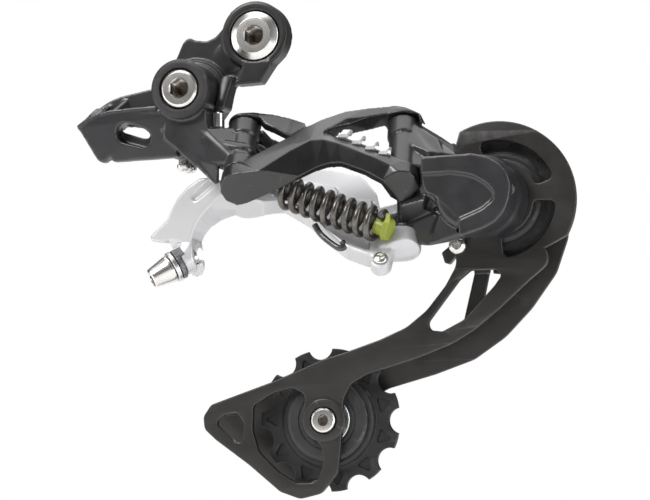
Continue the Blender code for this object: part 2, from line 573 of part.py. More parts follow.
pb = union(pb, face, k_out, k_in, k_web, shoulder, mid, low)
pb = cut(pb,
         ycyl(P_AXLE, -13.0, 9, 9.0),
         yplate(fillet([(58.4, -44.6, 1), (66.0, -43.8, 6), (74.0, -46.4, 6), (78.2, -51.4, 4), (76.6, -56.4, 4), (67.6, -61.8, 1),
                        (62.6, -55.2, 2), (58.0, -51.0, 2)], 3), -20, -17.2),
         cyl(L(E, 0, 3), L(E, 0, 28), BORE_R, seg=SEG_SMALL),
         cyl(L(E, W, -6), L(E, W, 18), BORE_R, seg=SEG_SMALL),
         # room for the ears of the two links
         cyl(L(E, 0, -1), L(E, 0, 5.45), EAR_R + 0.4, seg=24),
         cyl(L(E, 0, 25.5), L(E, 0, 34), EAR_R + 0.4, seg=24),
         cyl(L(E, W, -14), L(E, W, -5.1), EAR_R + 0.65, seg=24),
         cyl(L(E, W, 0.7), L(E, W, 9), 7.3, seg=24),
         ycyl((83.4, -51.5), -16, -9, 1.6, seg=12))
finish(pb, "p_body", GREY, L(E, 0, 15), J_PB)
finish(ring(P_AXLE, 6.1, 6.8, 11.4, 13.0), "p_seal_ring", RUBBER, (px, 6, pz), J_PB)
bush = cyl(SPRING_B + ax.normalized() * 1.3, SPRING_B + ax.normalized() * 3.4, 3.9, 3.2, seg=SEG_SMALL)
finish(bush, "spring_bush", GREEN, SPRING_B, J_IN)

# cage pivot: axle turning in the knuckle body, and the torsion spring round it
axle = yturned([(0, 12.0), (3.3, 12.0), (3.7, 11.6), (3.7, -5.6), (4.8, -6.2), (4.8, -9.2), (0, -9.2)], P_AXLE, 20)
finish(axle, "p_axle", STEEL, (px, 7, pz), J_CAGE)
coil = []
turns, n_turn = 5.0, 14
for i in range(int(turns * n_turn) + 1):
    a = 2 * math.pi * i / n_turn
    coil.append((px + 6.4 * math.cos(a), -11.0 + 14.0 * i / (turns * n_turn), pz + 6.4 * math.sin(a)))
finish(tube(coil, 0.9, 1), "p_spring", DARKSTEEL, (px, 0, pz), J_PB)

# --------------------------------------------------------------- cage
gx, gz = GUIDE
tx, tz = TENSION
outline = arc(gx, gz, GUARD_R, 126, -28, 26) + fillet([
    (92.0, -71.0, 8), (85.0, -76.8, 20), (75.0, -86.0, 25), (67.3, -92.4, 20), (60.0, -96.8, 20), (49.9, -100.8, 20), (33.0, -106.2, 10),
    (27.4, -109.4, 5), (25.2, -114.0, 6), (24.4, -127.7, 20), (23.4, -137.1, 6), (18.0, -143.6, 4), (11.2, -145.4, 4), (4.6, -143.2, 4),
    (-5.6, -134.9, 20), (-16.8, -127.0, 10), (-20.6, -123.6, 3), (-21.0, -119.6, 3), (-18.4, -115.8, 3), (-10.6, -113.0, 10), (2.6, -108.3, 20),
    (18.3, -101.6, 20), (26.8, -99.0, 20), (37.1, -95.4, 15), (45.6, -91.6, 12), (52.0, -86.4, 15), (58.0, -78.8, 15), (61.6, -72.2, 6),
    (61.0, -68.0, 2), (57.6, -62.0, 4), (57.2, -46.0, 8), (59.0, -35.6, 2)], 3)


def arc_slot(a0, a1, r0, r1):
    """Outline of a curved slot round the guide pulley's axis."""
    rm, rr = (r0 + r1) / 2, (r1 - r0) / 2
    out = arc(gx, gz, r1, a0, a1, 10)
    ex, ez = gx + rm * math.cos(math.radians(a1)), gz + rm * math.sin(math.radians(a1))
    out += arc(ex, ez, rr, a1, a1 + 180, 5)[1:-1]
    out += arc(gx, gz, r0, a1, a0, 10)
    sx, sz = gx + rm * math.cos(math.radians(a0)), gz + rm * math.sin(math.radians(a0))
    out += arc(sx, sz, rr, a0 + 180, a0 + 360, 5)[1:-1]
    return out


slot_a = arc_slot(26, 102, 12.8, 18.6)
slot_b = arc_slot(-78, -9, 11.8, 18.2)
win_up = fillet([(66.0, -74.2, 2), (62.4, -77.2, 3), (52.4, -90.4, 2), (53.2, -92.6, 1.5), (57.0, -93.0, 2), (63.8, -89.4, 6), (73.4, -79.0, 5),
                 (75.8, -75.6, 2), (73.8, -74.0, 1.5)], 3)
win_low = fillet([(-4.4, -116.2, 2), (2.0, -112.2, 8), (8.6, -110.4, 3), (12.8, -112.6, 2), (12.2, -117.4, 5), (12.6, -124.0, 5),
                  (18.0, -128.6, 2), (18.8, -134.4, 6), (16.6, -140.2, 3), (9.9, -140.4, 4), (4.0, -137.0, 8), (-2.6, -130.6, 4), (-4.6, -124.0, 5)], 3)
win_small = fillet([(-17.0, -121.6, 1.5), (-13.8, -118.8, 2), (-9.6, -118.2, 2), (-7.4, -121.4, 3), (-7.8, -127.8, 1.5), (-10.8, -127.6, 2), (-14.4, -124.2, 3)], 2)
outer_plate = yplate(outline, PLATE_OUT[0], PLATE_OUT[1],
                     [slot_a, slot_b, win_up, win_low, win_small, circle(px, pz, 5.15, 20), circle(tx, tz, 2.85, 16),
                      circle(62.2, -66.4, 1.75, 12)])
finish(outer_plate, "cage_outer_plate", CAGE, (px, 7, pz), J_CAGE)

in_outline = arc(gx, gz, 15.5, 150, 60, 6) + fillet([
    (90.5, -44.0, 8), (95.4, -55.0, 8), (94.4, -64.0, 8), (90.8, -74.6, 10), (83.0, -85.6, 20), (74.5, -94.6, 20), (64.5, -101.6, 10), (52.0, -106.2, 12),
    (37.0, -110.6, 8), (30.5, -114.0, 4), (28.6, -122.0, 6), (25.0, -130.0, 8), (19.4, -136.6, 6), (13.6, -141.0, 4), (8.0, -142.2, 4), (2.6, -140.2, 6), (-7.4, -132.2, 20),
    (-19.0, -124.6, 6), (-22.4, -121.6, 3), (-22.4, -119.2, 3), (-20.2, -116.4, 3), (-13.6, -113.6, 10), (-0.6, -109.0, 20), (16.0, -102.4, 10),
    (34.0, -99.6, 10), (46.0, -95.0, 10), (53.2, -93.4, 4), (58.6, -92.6, 2), (61.0, -90.2, 2), (64.9, -73.6, 4), (62.0, -64.0, 6)], 3)
in_win = fillet([(69.9, -72.5, 1), (67.8, -82.8, 1), (69.4, -83.6, 1), (73.6, -79.4, 3), (76.6, -74.6, 1.2), (75.6, -72.3, 1)], 3)
inner_plate = yplate(in_outline, PLATE_IN[0], PLATE_IN[1], [in_win, circle(gx, gz, 2.85, 16), circle(tx, tz, 2.85, 16)])
finish(inner_plate, "cage_inner_plate", CAGE, (px, 7, pz), J_CAGE)

finish(screw((62.2, 9.0, -66.4), (62.2, 6.7, -66.4), 1.4, 2.8, 2.6), "cage_stop_screw", STEEL, (62.2, 7, -66.4), J_CAGE)
post = cut(ycyl((45.5, -98.3), 9.8, 19.7, 2.6, seg=SEG_SMALL), ycyl((45.5, -98.3), 17, 21, 1.0, seg=8))
finish(post, "cage_post", CAGE, (45.5, 15, -98.3), J_CAGE)

# pulley bolts: the tension bolt's head is outboard, the guide bolt's inboard
tb = yturned([(0, -5.3), (3.4, -5.3), (3.95, -5.8), (3.95, -6.8), (2.5, -6.8), (2.5, -21.6), (0, -21.6)], TENSION, 20)
tb = cut(tb, hexrod((tx, 5, tz), (tx, 7.4, tz), 3.0))
finish(tb, "tension_pulley_bolt", STEEL, (tx, PULLEY_Y, tz), J_CAGE)
gb = yturned([(0, -9.8), (2.5, -9.8), (2.5, -22.1), (3.95, -22.1), (3.95, -23.1), (3.4, -23.6), (0, -23.6)], GUIDE, 20)
gb = cut(gb, hexrod((gx, 22.0, gz), (gx, 24, gz), 3.0))
finish(gb, "guide_pulley_bolt", STEEL, (gx, PULLEY_Y, gz), J_CAGE)


def tooth_outline(xz, phase, root, tip, n=PULLEY_TEETH):
    """Pulley rim: short flat-topped teeth with round valleys between."""
    out = []
    pitch = 2 * math.pi / n
    for k in range(n):
        a = phase + k * pitch
        for f, r in ((-0.115, tip - 0.25), (-0.06, tip), (0.06, tip), (0.115, tip - 0.25), (0.21, root + 1.15),
                     (0.34, root + 0.15), (0.5, root), (0.66, root + 0.15), (0.79, root + 1.15)):
            out.append((xz[0] + r * math.cos(a + f * pitch), xz[1] + r * math.sin(a + f * pitch)))
    return out


def pulley(name, xz, phase, joint):
    """Pulley wheel with a stepped rim and open recesses, its bearing, covers and bush."""
    y = PULLEY_Y
    rim = yplate(tooth_outline(xz, phase, PULLEY_ROOT_R, PULLEY_TIP_R), y - 1.15, y + 1.15, [circle(xz[0], xz[1], 14.0, 28)])
    hub = ring(xz, y - 3.1, y + 3.1, 7.9, 14.6, 28)
    wheel = union(rim, hub)
    recesses = []
    for k in range(PULLEY_TEETH):
        a = phase + math.pi / PULLEY_TEETH + k * 2 * math.pi / PULLEY_TEETH
        c = (xz[0] + 16.9 * math.cos(a), xz[1] + 16.9 * math.sin(a))
        recesses.append(ycyl(c, y - 3, y + 3, 1.25, seg=8))
    wheel = cut(wheel, *recesses)
    finish(wheel, name, RESIN, (xz[0], y, xz[1]), joint)
    finish(ring(xz, y - 2.4, y + 2.4, 4.7, 7.5, 24), name + "_bearing", STEEL, (xz[0], y, xz[1]), joint)
    finish(ring(xz, y - 4.6, y + 4.6, 2.9, 4.3, 20), name + "_bush", STEEL, (xz[0], y, xz[1]), J_CAGE)
    for side, tag in ((-1, "outer"), (1, "inner")):
        prof = [(4.7, 3.5), (4.7, 4.7), (8.0, 4.7), (12.4, 4.0), (13.2, 3.5)] if side < 0 else \
               [(4.7, -4.7), (4.7, -3.5), (13.2, -3.5), (12.4, -4.0), (8.0, -4.7)]
        prof = [(r, h - y) for r, h in prof]
        finish(yturned(prof, xz, 28, True), "%s_%s_cover" % (name, tag), RESIN, (xz[0], y, xz[1]), J_CAGE)


pulley("guide_pulley", GUIDE, math.radians(8), J_GP)
pulley("tension_pulley", TENSION, math.radians(17.5), J_TP)

bpy.context.view_layer.update()
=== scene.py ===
import math

import bmesh
import bpy
import numpy as np
from mathutils import Matrix, Vector


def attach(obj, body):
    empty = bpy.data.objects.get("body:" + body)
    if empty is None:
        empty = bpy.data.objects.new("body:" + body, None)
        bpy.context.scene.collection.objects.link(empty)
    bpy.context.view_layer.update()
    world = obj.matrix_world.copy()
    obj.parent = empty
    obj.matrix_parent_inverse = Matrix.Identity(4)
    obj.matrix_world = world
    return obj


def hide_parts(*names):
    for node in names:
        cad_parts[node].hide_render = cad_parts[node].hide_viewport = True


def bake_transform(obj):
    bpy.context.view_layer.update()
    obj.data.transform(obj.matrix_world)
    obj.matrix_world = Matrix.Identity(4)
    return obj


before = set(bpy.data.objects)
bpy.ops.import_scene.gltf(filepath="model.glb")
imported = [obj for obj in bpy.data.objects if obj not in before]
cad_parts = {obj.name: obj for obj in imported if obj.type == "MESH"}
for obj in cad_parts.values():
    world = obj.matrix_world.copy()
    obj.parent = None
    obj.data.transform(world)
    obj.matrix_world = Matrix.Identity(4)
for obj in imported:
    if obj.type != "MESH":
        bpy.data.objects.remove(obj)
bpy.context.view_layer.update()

MM = 0.001
SEG = 96
GAP = 0.35

# ------------------------------------------------------------------ dimensions
HANGER_HEAD_R = 7.8
B_AXLE = (-19.8, -18.1)
P_AXLE = (71.0, -52.2)
GUIDE = (74.5, -52.3)
TENSION = (19.0, -120.6)
PLATE_OUT = (7.1, 9.5)
PLATE_IN = (20.0, 21.8)
PULLEY_Y = 14.75
PULLEY_TEETH = 11
PULLEY_TIP_R = 22.4
PULLEY_ROOT_R = 19.0
GUARD_R = 24.5
LINK_O = Vector((0.0, -23.0, -49.4))
LINK_VEC = Vector((49.0, 8.5, 0.1))
W = 18.0
EAR_R = 5.3
PIN_R = 2.4
BORE_R = 2.8
EX = LINK_VEC.normalized()
_ay, _az = 0.59, 0.801
_ax = -(LINK_VEC.y * _ay + LINK_VEC.z * _az) / LINK_VEC.x
EZ = Vector((_ax, _ay, _az)).normalized()
EY = EZ.cross(EX)
E = LINK_VEC.length
ANCHOR = Vector((-23.1, -8.6, -71.3))
ANCHOR_DIR = Vector((-0.76, -0.42, -0.48)).normalized()


def L(s, t, c):
    """Point in the linkage's own frame: along the link, across, along the pins."""
    return LINK_O + EX * s + EY * t + EZ * c


SPRING_A = L(12.4, 8.3, 5.8)
SPRING_B = L(43.6, 8.3, -9.4)

WORK = bpy.data.collections.new("rear_derailleur")
bpy.context.scene.collection.children.link(WORK)


# --------------------------------------------------------------------- helpers
def link_in(obj):
    WORK.objects.link(obj)
    return obj


def from_bmesh(bm, name="piece"):
    me = bpy.data.meshes.new(name)
    bm.to_mesh(me)
    bm.free()
    return link_in(bpy.data.objects.new(name, me))


def drop(obj):
    data = obj.data
    bpy.data.objects.remove(obj, do_unlink=True)
    if isinstance(data, bpy.types.Curve):
        bpy.data.curves.remove(data)
    elif isinstance(data, bpy.types.Mesh):
        bpy.data.meshes.remove(data)


def bake(obj, weld=2e-6):
    """Replace an object by its evaluated mesh, in row-frame coordinates."""
    bpy.context.view_layer.update()
    dg = bpy.context.evaluated_depsgraph_get()
    me = bpy.data.meshes.new_from_object(obj.evaluated_get(dg))
    me.transform(obj.matrix_world)
    if weld:
        bm = bmesh.new()
        bm.from_mesh(me)
        bmesh.ops.remove_doubles(bm, verts=bm.verts, dist=weld)
        bmesh.ops.dissolve_degenerate(bm, edges=bm.edges, dist=1e-6)
        bm.to_mesh(me)
        bm.free()
    name = obj.name
    drop(obj)
    return link_in(bpy.data.objects.new(name, me))


def axes(origin, z, x=None):
    """Matrix in metres whose local +Z runs along z and +X near x."""
    z = Vector(z).normalized()
    x = Vector(x) if x is not None else Vector((1, 0, 0))
    if abs(x.normalized().dot(z)) > 0.98:
        x = Vector((0, 0, 1))
    y = z.cross(x).normalized()
    x = y.cross(z).normalized()
    m = Matrix((x, y, z)).transposed().to_4x4()
    m.translation = Vector(origin) * MM
    return m


def side_frame(x, z, y=0.0):
    """Local x = row X, local y = row Z, local z = outboard."""
    return axes((x, y, z), (0, -1, 0), (1, 0, 0))


LINK_SHELL = axes(LINK_O, -EY, EX)
LINK_INNER = axes(L(0, W, 0), -EY, EX)


def cyl(p0, p1, r0, r1=None, seg=SEG):
    r1 = r0 if r1 is None else r1
    p0, p1 = Vector(p0), Vector(p1)
    d = p1 - p0
    bm = bmesh.new()
    bmesh.ops.create_cone(bm, cap_ends=True, segments=seg, radius1=r0 * MM, radius2=r1 * MM,
                          depth=d.length * MM, matrix=axes((p0 + p1) / 2, d))
    return from_bmesh(bm)


def ycyl(xz, y0, y1, r0, r1=None, seg=SEG):
    return cyl((xz[0], y0, xz[1]), (xz[0], y1, xz[1]), r0, r1, seg)


def hexrod(p0, p1, flats, seg=6):
    return cyl(p0, p1, flats / 2 / math.cos(math.pi / 6), seg=seg)


def ring_points(p, axis, r, n=14, x=None):
    m = axes(p, axis, x)
    return [m @ (Vector((math.cos(a), math.sin(a), 0)) * r * MM) / MM
            for a in (2 * math.pi * i / n for i in range(n))]


def hull(points):
    bm = bmesh.new()
    for p in points:
        bm.verts.new(Vector(p) * MM)
    res = bmesh.ops.convex_hull(bm, input=bm.verts, use_existing_faces=False)
    loose = [g for g in res["geom_interior"] + res["geom_unused"] if isinstance(g, bmesh.types.BMVert)]
    bmesh.ops.delete(bm, geom=list(set(loose)), context="VERTS")
    bmesh.ops.dissolve_limit(bm, angle_limit=math.radians(0.6), verts=bm.verts, edges=bm.edges)
    bmesh.ops.recalc_face_normals(bm, faces=bm.faces)
    return from_bmesh(bm)


def chain(*sections):
    """Convex pieces between each section and the next."""
    return [hull(list(a) + list(b)) for a, b in zip(sections, sections[1:])]


def lsec(*pts):
    return [L(*p) for p in pts]


def disc_pts(p, axis, r, h0, h1, n=28):
    a = Vector(axis).normalized()
    p = Vector(p)
    return ring_points(p + a * h0, a, r, n) + ring_points(p + a * h1, a, r, n)


def ldisc(s, t, c0, c1, r, n=28):
    return ring_points(L(s, t, c0), EZ, r, n) + ring_points(L(s, t, c1), EZ, r, n)


def box_pts(xs, ys, zs):
    return [Vector((x, y, z)) for x in xs for y in ys for z in zs]


def fillet(points, steps=8):
    """Outline whose corners (x, y, radius) are rounded by arcs."""
    out = []
    n = len(points)
    for i, p in enumerate(points):
        x, y = p[0], p[1]
        r = p[2] if len(p) > 2 else 0
        if r <= 0:
            out.append((x, y))
            continue
        a = Vector((points[i - 1][0] - x, points[i - 1][1] - y))
        b = Vector((points[(i + 1) % n][0] - x, points[(i + 1) % n][1] - y))
        la, lb = a.length, b.length
        a.normalize()
        b.normalize()
        ang = math.acos(max(-1, min(1, a.dot(b))))
        if ang > math.radians(178) or ang < math.radians(4):
            out.append((x, y))
            continue
        k = min(r / math.tan(ang / 2), la * 0.49, lb * 0.49)
        rr = k * math.tan(ang / 2)
        centre = Vector((x, y)) + (a + b).normalized() * (rr / math.sin(ang / 2))
        s = Vector((x, y)) + a * k - centre
        e = Vector((x, y)) + b * k - centre
        turn = math.atan2(s.x * e.y - s.y * e.x, s.dot(e))
        for j in range(steps + 1):
            t = turn * j / steps
            out.append((centre.x + s.x * math.cos(t) - s.y * math.sin(t),
                        centre.y + s.x * math.sin(t) + s.y * math.cos(t)))
    return out


def smooth_line(points, n=8, closed=False):
    """Catmull-Rom curve through points of any dimension."""
    P = [Vector(p) for p in points]
    out = []
    m = len(P)
    for i in range(m if closed else m - 1):
        if closed:
            p0, p1, p2, p3 = P[i - 1], P[i], P[(i + 1) % m], P[(i + 2) % m]
        else:
            p0, p1, p2, p3 = P[max(i - 1, 0)], P[i], P[i + 1], P[min(i + 2, m - 1)]
        for j in range(n):
            t = j / n
            out.append(0.5 * ((2 * p1) + (p2 - p0) * t + (2 * p0 - 5 * p1 + 4 * p2 - p3) * t * t
                              + (3 * p1 - p0 - 3 * p2 + p3) * t ** 3))
    if not closed:
        out.append(P[-1])
    return out


def circle(x, y, r, n=SEG):
    return [(x + r * math.cos(2 * math.pi * i / n), y + r * math.sin(2 * math.pi * i / n)) for i in range(n)]


def arc(x, y, r, a0, a1, n):
    return [(x + r * math.cos(math.radians(a0 + (a1 - a0) * i / n)),
             y + r * math.sin(math.radians(a0 + (a1 - a0) * i / n))) for i in range(n + 1)]


def plate(outline, z0, z1, matrix, holes=(), bevel=0.0, res=3):
    """Flat outline with holes, extruded from z0 to z1, its rims rounded by bevel."""
    cu = bpy.data.curves.new("outline", "CURVE")
    cu.dimensions = "2D"
    cu.fill_mode = "BOTH"
    cu.extrude = (abs(z1 - z0) / 2 - bevel) * MM
    if bevel:
        cu.bevel_depth = bevel * MM
        cu.bevel_resolution = res
        cu.offset = -bevel * MM
    for loop in [outline] + list(holes):
        sp = cu.splines.new("POLY")
        sp.points.add(len(loop) - 1)
        for q, (x, y) in zip(sp.points, loop):
            q.co = (x * MM, y * MM, 0, 1)
        sp.use_cyclic_u = True
    ob = link_in(bpy.data.objects.new("outline", cu))
    ob.matrix_world = matrix @ Matrix.Translation((0, 0, (z0 + z1) / 2 * MM))
    ob = bake(ob)
    bm = bmesh.new()
    bm.from_mesh(ob.data)
    bmesh.ops.remove_doubles(bm, verts=bm.verts, dist=5e-6)
    bmesh.ops.recalc_face_normals(bm, faces=bm.faces)
    bm.to_mesh(ob.data)
    bm.free()
    return ob


def yplate(outline, y0, y1, holes=(), bevel=0.0, res=3):
    """Outline in X and Z, extruded from y0 to y1."""
    return plate(outline, -y1, -y0, side_frame(0, 0), holes, bevel, res)


def soften(profile, r, steps=3, closed=False):
    """Round the corners of a turned profile."""
    n = len(profile)
    pts = []
    for i, p in enumerate(profile):
        end = not closed and i in (0, n - 1)
        pts.append((p[0], p[1], 0 if end or p[0] == 0 else (p[2] if len(p) > 2 else r)))
    if closed:
        return fillet(pts, steps)
    pad = fillet(pts + [(pts[-1][0] - 50, pts[-1][1], 0), (pts[0][0] - 50, pts[0][1], 0)], steps)
    return pad[:-2]


def turned(profile, matrix, seg=SEG, closed=False):
    """Profile of (radius, height), outer side running downwards, turned about local Z."""
    bm = bmesh.new()
    vs = [bm.verts.new((p[0] * MM, 0, p[1] * MM)) for p in profile]
    for a, b in zip(vs, vs[1:]):
        bm.edges.new((a, b))
    if closed:
        bm.edges.new((vs[-1], vs[0]))
    ob = from_bmesh(bm, "turned")
    mod = ob.modifiers.new("turn", "SCREW")
    mod.axis = "Z"
    mod.steps = mod.render_steps = seg
    mod.use_merge_vertices = True
    mod.merge_threshold = 1e-6
    ob.matrix_world = matrix
    ob = bake(ob)
    bm = bmesh.new()
    bm.from_mesh(ob.data)
    bmesh.ops.recalc_face_normals(bm, faces=bm.faces)
    bm.to_mesh(ob.data)
    bm.free()
    return ob


def yturned(profile, xz, seg=SEG, closed=False, r=0.12):
    """Turned about the Y axis through (x, z); heights count outboard."""
    return turned(soften(profile, r, 3, closed), side_frame(xz[0], xz[1]), seg, closed)


def tube(points, r, res=6, cyclic=False, caps=True):
    cu = bpy.data.curves.new("wire", "CURVE")
    cu.dimensions = "3D"
    cu.bevel_depth = r * MM
    cu.bevel_resolution = res
    cu.use_fill_caps = caps
    cu.twist_mode = "MINIMUM"
    sp = cu.splines.new("POLY")
    sp.points.add(len(points) - 1)
    for q, p in zip(sp.points, points):
        q.co = (p[0] * MM, p[1] * MM, p[2] * MM, 1)
    sp.use_cyclic_u = cyclic
    ob = link_in(bpy.data.objects.new("wire", cu))
    return bake(ob)


def combine(obj, others, operation):
    for other in others:
        mod = obj.modifiers.new("b", "BOOLEAN")
        mod.operation = operation
        mod.solver = "EXACT"
        mod.object = other
        obj = bake(obj)
        drop(other)
    return obj


def union(obj, *others):
    return combine(obj, others, "UNION")


def cut(obj, *others):
    return combine(obj, others, "DIFFERENCE")


def join(*objs):
    """Several closed bodies held in one mesh."""
    bm = bmesh.new()
    for o in objs:
        bm.from_mesh(o.data)
    for o in objs:
        drop(o)
    return from_bmesh(bm)


def cast(obj, voxel=0.36, smooth=5, factor=0.5):
    """Skin the joined bodies as one casting with small rounded edges."""
    m = obj.modifiers.new("skin", "REMESH")
    m.mode = "VOXEL"
    m.voxel_size = voxel * MM
    m.adaptivity = 0
    m.use_smooth_shade = True
    s = obj.modifiers.new("round", "SMOOTH")
    s.factor = factor
    s.iterations = smooth
    return bake(obj, weld=0)


def rebase(obj, matrix):
    """Give the mesh its own axes, so that its material can follow its turning axis."""
    obj.data.transform(matrix.inverted())
    obj.matrix_world = matrix
    return obj


# ------------------------------------------------------------------- materials
class Graph:
    """A small node graph on a fresh Principled material."""

    def __init__(self, name):
        self.mat = bpy.data.materials.new(name)
        self.mat.use_nodes = True
        self.nt = self.mat.node_tree
        self.bsdf = self.nt.nodes["Principled BSDF"]
        self.coord = self.nt.nodes.new("ShaderNodeTexCoord").outputs["Object"]

    def node(self, kind, ins=None, **props):
        n = self.nt.nodes.new(kind)
        for k, v in props.items():
            setattr(n, k, v)
        for k, v in (ins or {}).items():
            if isinstance(v, bpy.types.NodeSocket):
                self.nt.links.new(v, n.inputs[k])
            else:
                n.inputs[k].default_value = v
        return n

    def noise(self, scale, detail=3.0, rough=0.55, vector=None):
        return self.node("ShaderNodeTexNoise", {"Vector": vector or self.coord, "Scale": scale,
                                                "Detail": detail, "Roughness": rough}).outputs["Fac"]

    def span(self, value, lo, hi, a, b):
        return self.node("ShaderNodeMapRange", {"Value": value, "From Min": lo, "From Max": hi,
                                                "To Min": a, "To Max": b}).outputs["Result"]

    def mix(self, fac, a, b):
        n = self.nt.nodes.new("ShaderNodeMix")
        n.data_type = "RGBA"
        for k, v in ((0, fac), (6, a), (7, b)):
            if isinstance(v, bpy.types.NodeSocket):
                self.nt.links.new(v, n.inputs[k])
            else:
                n.inputs[k].default_value = v if k == 0 else (*v, 1)
        return n.outputs[2]

    def math(self, op, a, b=0.0):
        return self.node("ShaderNodeMath", {0: a, 1: b}, operation=op).outputs[0]

    def edge(self, lo=0.52, hi=0.60):
        g = self.node("ShaderNodeNewGeometry").outputs["Pointiness"]
        return self.span(g, lo, hi, 0.0, 1.0)

    def to(self, name, value):
        s = self.bsdf.inputs[name]
        if isinstance(value, bpy.types.NodeSocket):
            self.nt.links.new(value, s)
        else:
            s.default_value = value

    def bump(self, height, strength, distance):
        b = self.node("ShaderNodeBump", {"Height": height, "Strength": strength, "Distance": distance})
        self.to("Normal", b.outputs["Normal"])
        return b


def coated(name, base, dark, light, rough, metal=0.0, spec=0.5, grain=0.35, wear_and_sheen=0.35, wear_and_sheen_rgb=(0.30, 0.30, 0.31)):
    """Painted or anodised casting: mottled tone, fine grain, and paler edges that are partly wear and partly a painted
    highlight.
    """
    g = Graph(name)
    broad = g.noise(55.0, 3.0)
    tone = g.mix(g.span(broad, 0.35, 0.65, 0.0, 1.0), dark, light)
    tone = g.mix(0.5, tone, base)
    fine = g.noise(5200.0, 2.0, 0.6)
    tone = g.mix(g.span(fine, 0.62, 0.78, 0.0, 0.22), tone, tuple(min(1.0, c * 2.2 + 0.01) for c in base))
    # paler edges from pointiness: partly edge wear, partly a painted highlight standing in for light caught by the
    # rounded edges
    edges = g.math("MULTIPLY", g.edge(0.515, 0.60), g.span(g.noise(420.0, 3.0), 0.35, 0.65, wear_and_sheen * 0.35, wear_and_sheen))
    g.to("Base Color", g.mix(edges, tone, wear_and_sheen_rgb))
    g.to("Metallic", metal)
    g.to("Specular IOR Level", spec)
    patch = g.noise(160.0, 4.0)
    g.to("Roughness", g.span(patch, 0.3, 0.7, rough - 0.045, rough + 0.055))
    g.bump(g.math("ADD", g.math("MULTIPLY", fine, 0.6), g.math("MULTIPLY", g.noise(1500.0, 2.0), 0.4)), grain, 0.00004)
    return g.mat


def silver_paint(name, base=(0.63, 0.63, 0.645)):
    """Metallic paint over a casting, with a fine sparkle and a slight orange peel."""
    g = Graph(name)
    tone = g.mix(g.span(g.noise(45.0, 2.0), 0.35, 0.65, 0.0, 1.0), tuple(c * 0.94 for c in base), base)
    flake = g.noise(9000.0, 1.0, 0.5)
    tone = g.mix(g.span(flake, 0.58, 0.75, 0.0, 0.30), tone, (0.78, 0.78, 0.79))
    # paler edges from pointiness: partly worn paint, partly a painted edge highlight
    tone = g.mix(g.math("MULTIPLY", g.edge(0.515, 0.60), 0.35), tone, (0.80, 0.80, 0.81))
    g.to("Base Color", tone)
    g.to("Metallic", 0.35)
    g.to("Specular IOR Level", 0.5)
    g.to("Roughness", g.span(flake, 0.3, 0.7, 0.34, 0.46))
    g.to("Coat Weight", 0.15)
    g.to("Coat Roughness", 0.25)
    g.bump(g.math("ADD", g.math("MULTIPLY", flake, 0.4), g.math("MULTIPLY", g.noise(900.0, 2.0), 0.6)), 0.25, 0.00003)
    return g.mat


def turned_steel(name, base=(0.80, 0.785, 0.76), dark=(0.46, 0.44, 0.41), rough=0.24, socket_shade_r=0.0):
    """Machined steel: rings of tool marks round the local Z axis, with optional painted shade darkening the hex socket
    near the axis.
    """
    g = Graph(name)
    xyz = g.node("ShaderNodeSeparateXYZ", {"Vector": g.coord})
    r2 = g.math("ADD", g.math("MULTIPLY", xyz.outputs[0], xyz.outputs[0]),
                g.math("MULTIPLY", xyz.outputs[1], xyz.outputs[1]))
    radius = g.math("SQRT", r2)
    along = g.math("ADD", radius, g.math("MULTIPLY", xyz.outputs[2], 0.9))
    marks = g.node("ShaderNodeTexNoise", {"W": along, "Scale": 9000.0, "Detail": 4.0, "Roughness": 0.65},
                   noise_dimensions="1D").outputs["Fac"]
    blot = g.noise(260.0, 4.0)
    tone = g.mix(g.span(marks, 0.3, 0.7, 0.0, 0.5), base, tuple(c * 0.78 for c in base))
    tone = g.mix(g.span(blot, 0.52, 0.75, 0.0, 0.45), tone, dark)
    # painted shade: the steel is darkened inside the given radius, standing in for the shadow in the hex socket
    if socket_shade_r:
        tone = g.mix(g.span(radius, socket_shade_r * MM, (socket_shade_r + 0.6) * MM, 1.0, 0.0), tone, (0.20, 0.175, 0.145))
    g.to("Base Color", tone)
    g.to("Metallic", 1.0)
    g.to("Roughness", g.span(marks, 0.25, 0.75, rough - 0.05, rough + 0.10))
    g.bump(marks, 0.22, 0.00002)
    return g.mat


def spring_steel(name, base=(0.16, 0.15, 0.138), rough=0.30):
    """Oil-blackened wire, drawn lengthwise, scuffed on its crowns."""
    g = Graph(name)
    blot = g.noise(420.0, 4.0)
    tone = g.mix(g.span(blot, 0.35, 0.65, 0.0, 1.0), tuple(c * 0.62 for c in base), base)
    scuff = g.noise(2600.0, 3.0)
    tone = g.mix(g.math("MULTIPLY", g.span(scuff, 0.5, 0.8, 0.0, 0.6), g.span(blot, 0.4, 0.7, 0.2, 1.0)), tone, (0.34, 0.325, 0.30))
    g.to("Base Color", tone)
    g.to("Metallic", 0.85)
    g.to("Roughness", g.span(scuff, 0.3, 0.7, rough - 0.06, rough + 0.14))
    g.bump(scuff, 0.25, 0.00003)
    return g.mat


def resin(name, base=(0.012, 0.012, 0.0125), rough=0.46, spec=0.45, grain=0.5):
    """Moulded filled resin: fine matt texture, edges painted paler as a highlight."""
    g = Graph(name)
    tone = g.mix(g.span(g.noise(90.0, 3.0), 0.35, 0.65, 0.0, 1.0), tuple(c * 0.75 for c in base), tuple(c * 1.3 for c in base))
    fine = g.noise(3800.0, 3.0, 0.6)
    tone = g.mix(g.span(fine, 0.6, 0.8, 0.0, 0.25), tone, tuple(c * 2.5 for c in base))
    # painted highlight: edges found by pointiness are lightened in colour to look shiny
    tone = g.mix(g.math("MULTIPLY", g.edge(0.52, 0.62), 0.25), tone, (0.16, 0.16, 0.165))
    g.to("Base Color", tone)
    g.to("Roughness", g.span(g.noise(300.0, 3.0), 0.3, 0.7, rough - 0.05, rough + 0.06))
    g.to("Specular IOR Level", spec)
    g.bump(fine, grain, 0.00005)
    return g.mat


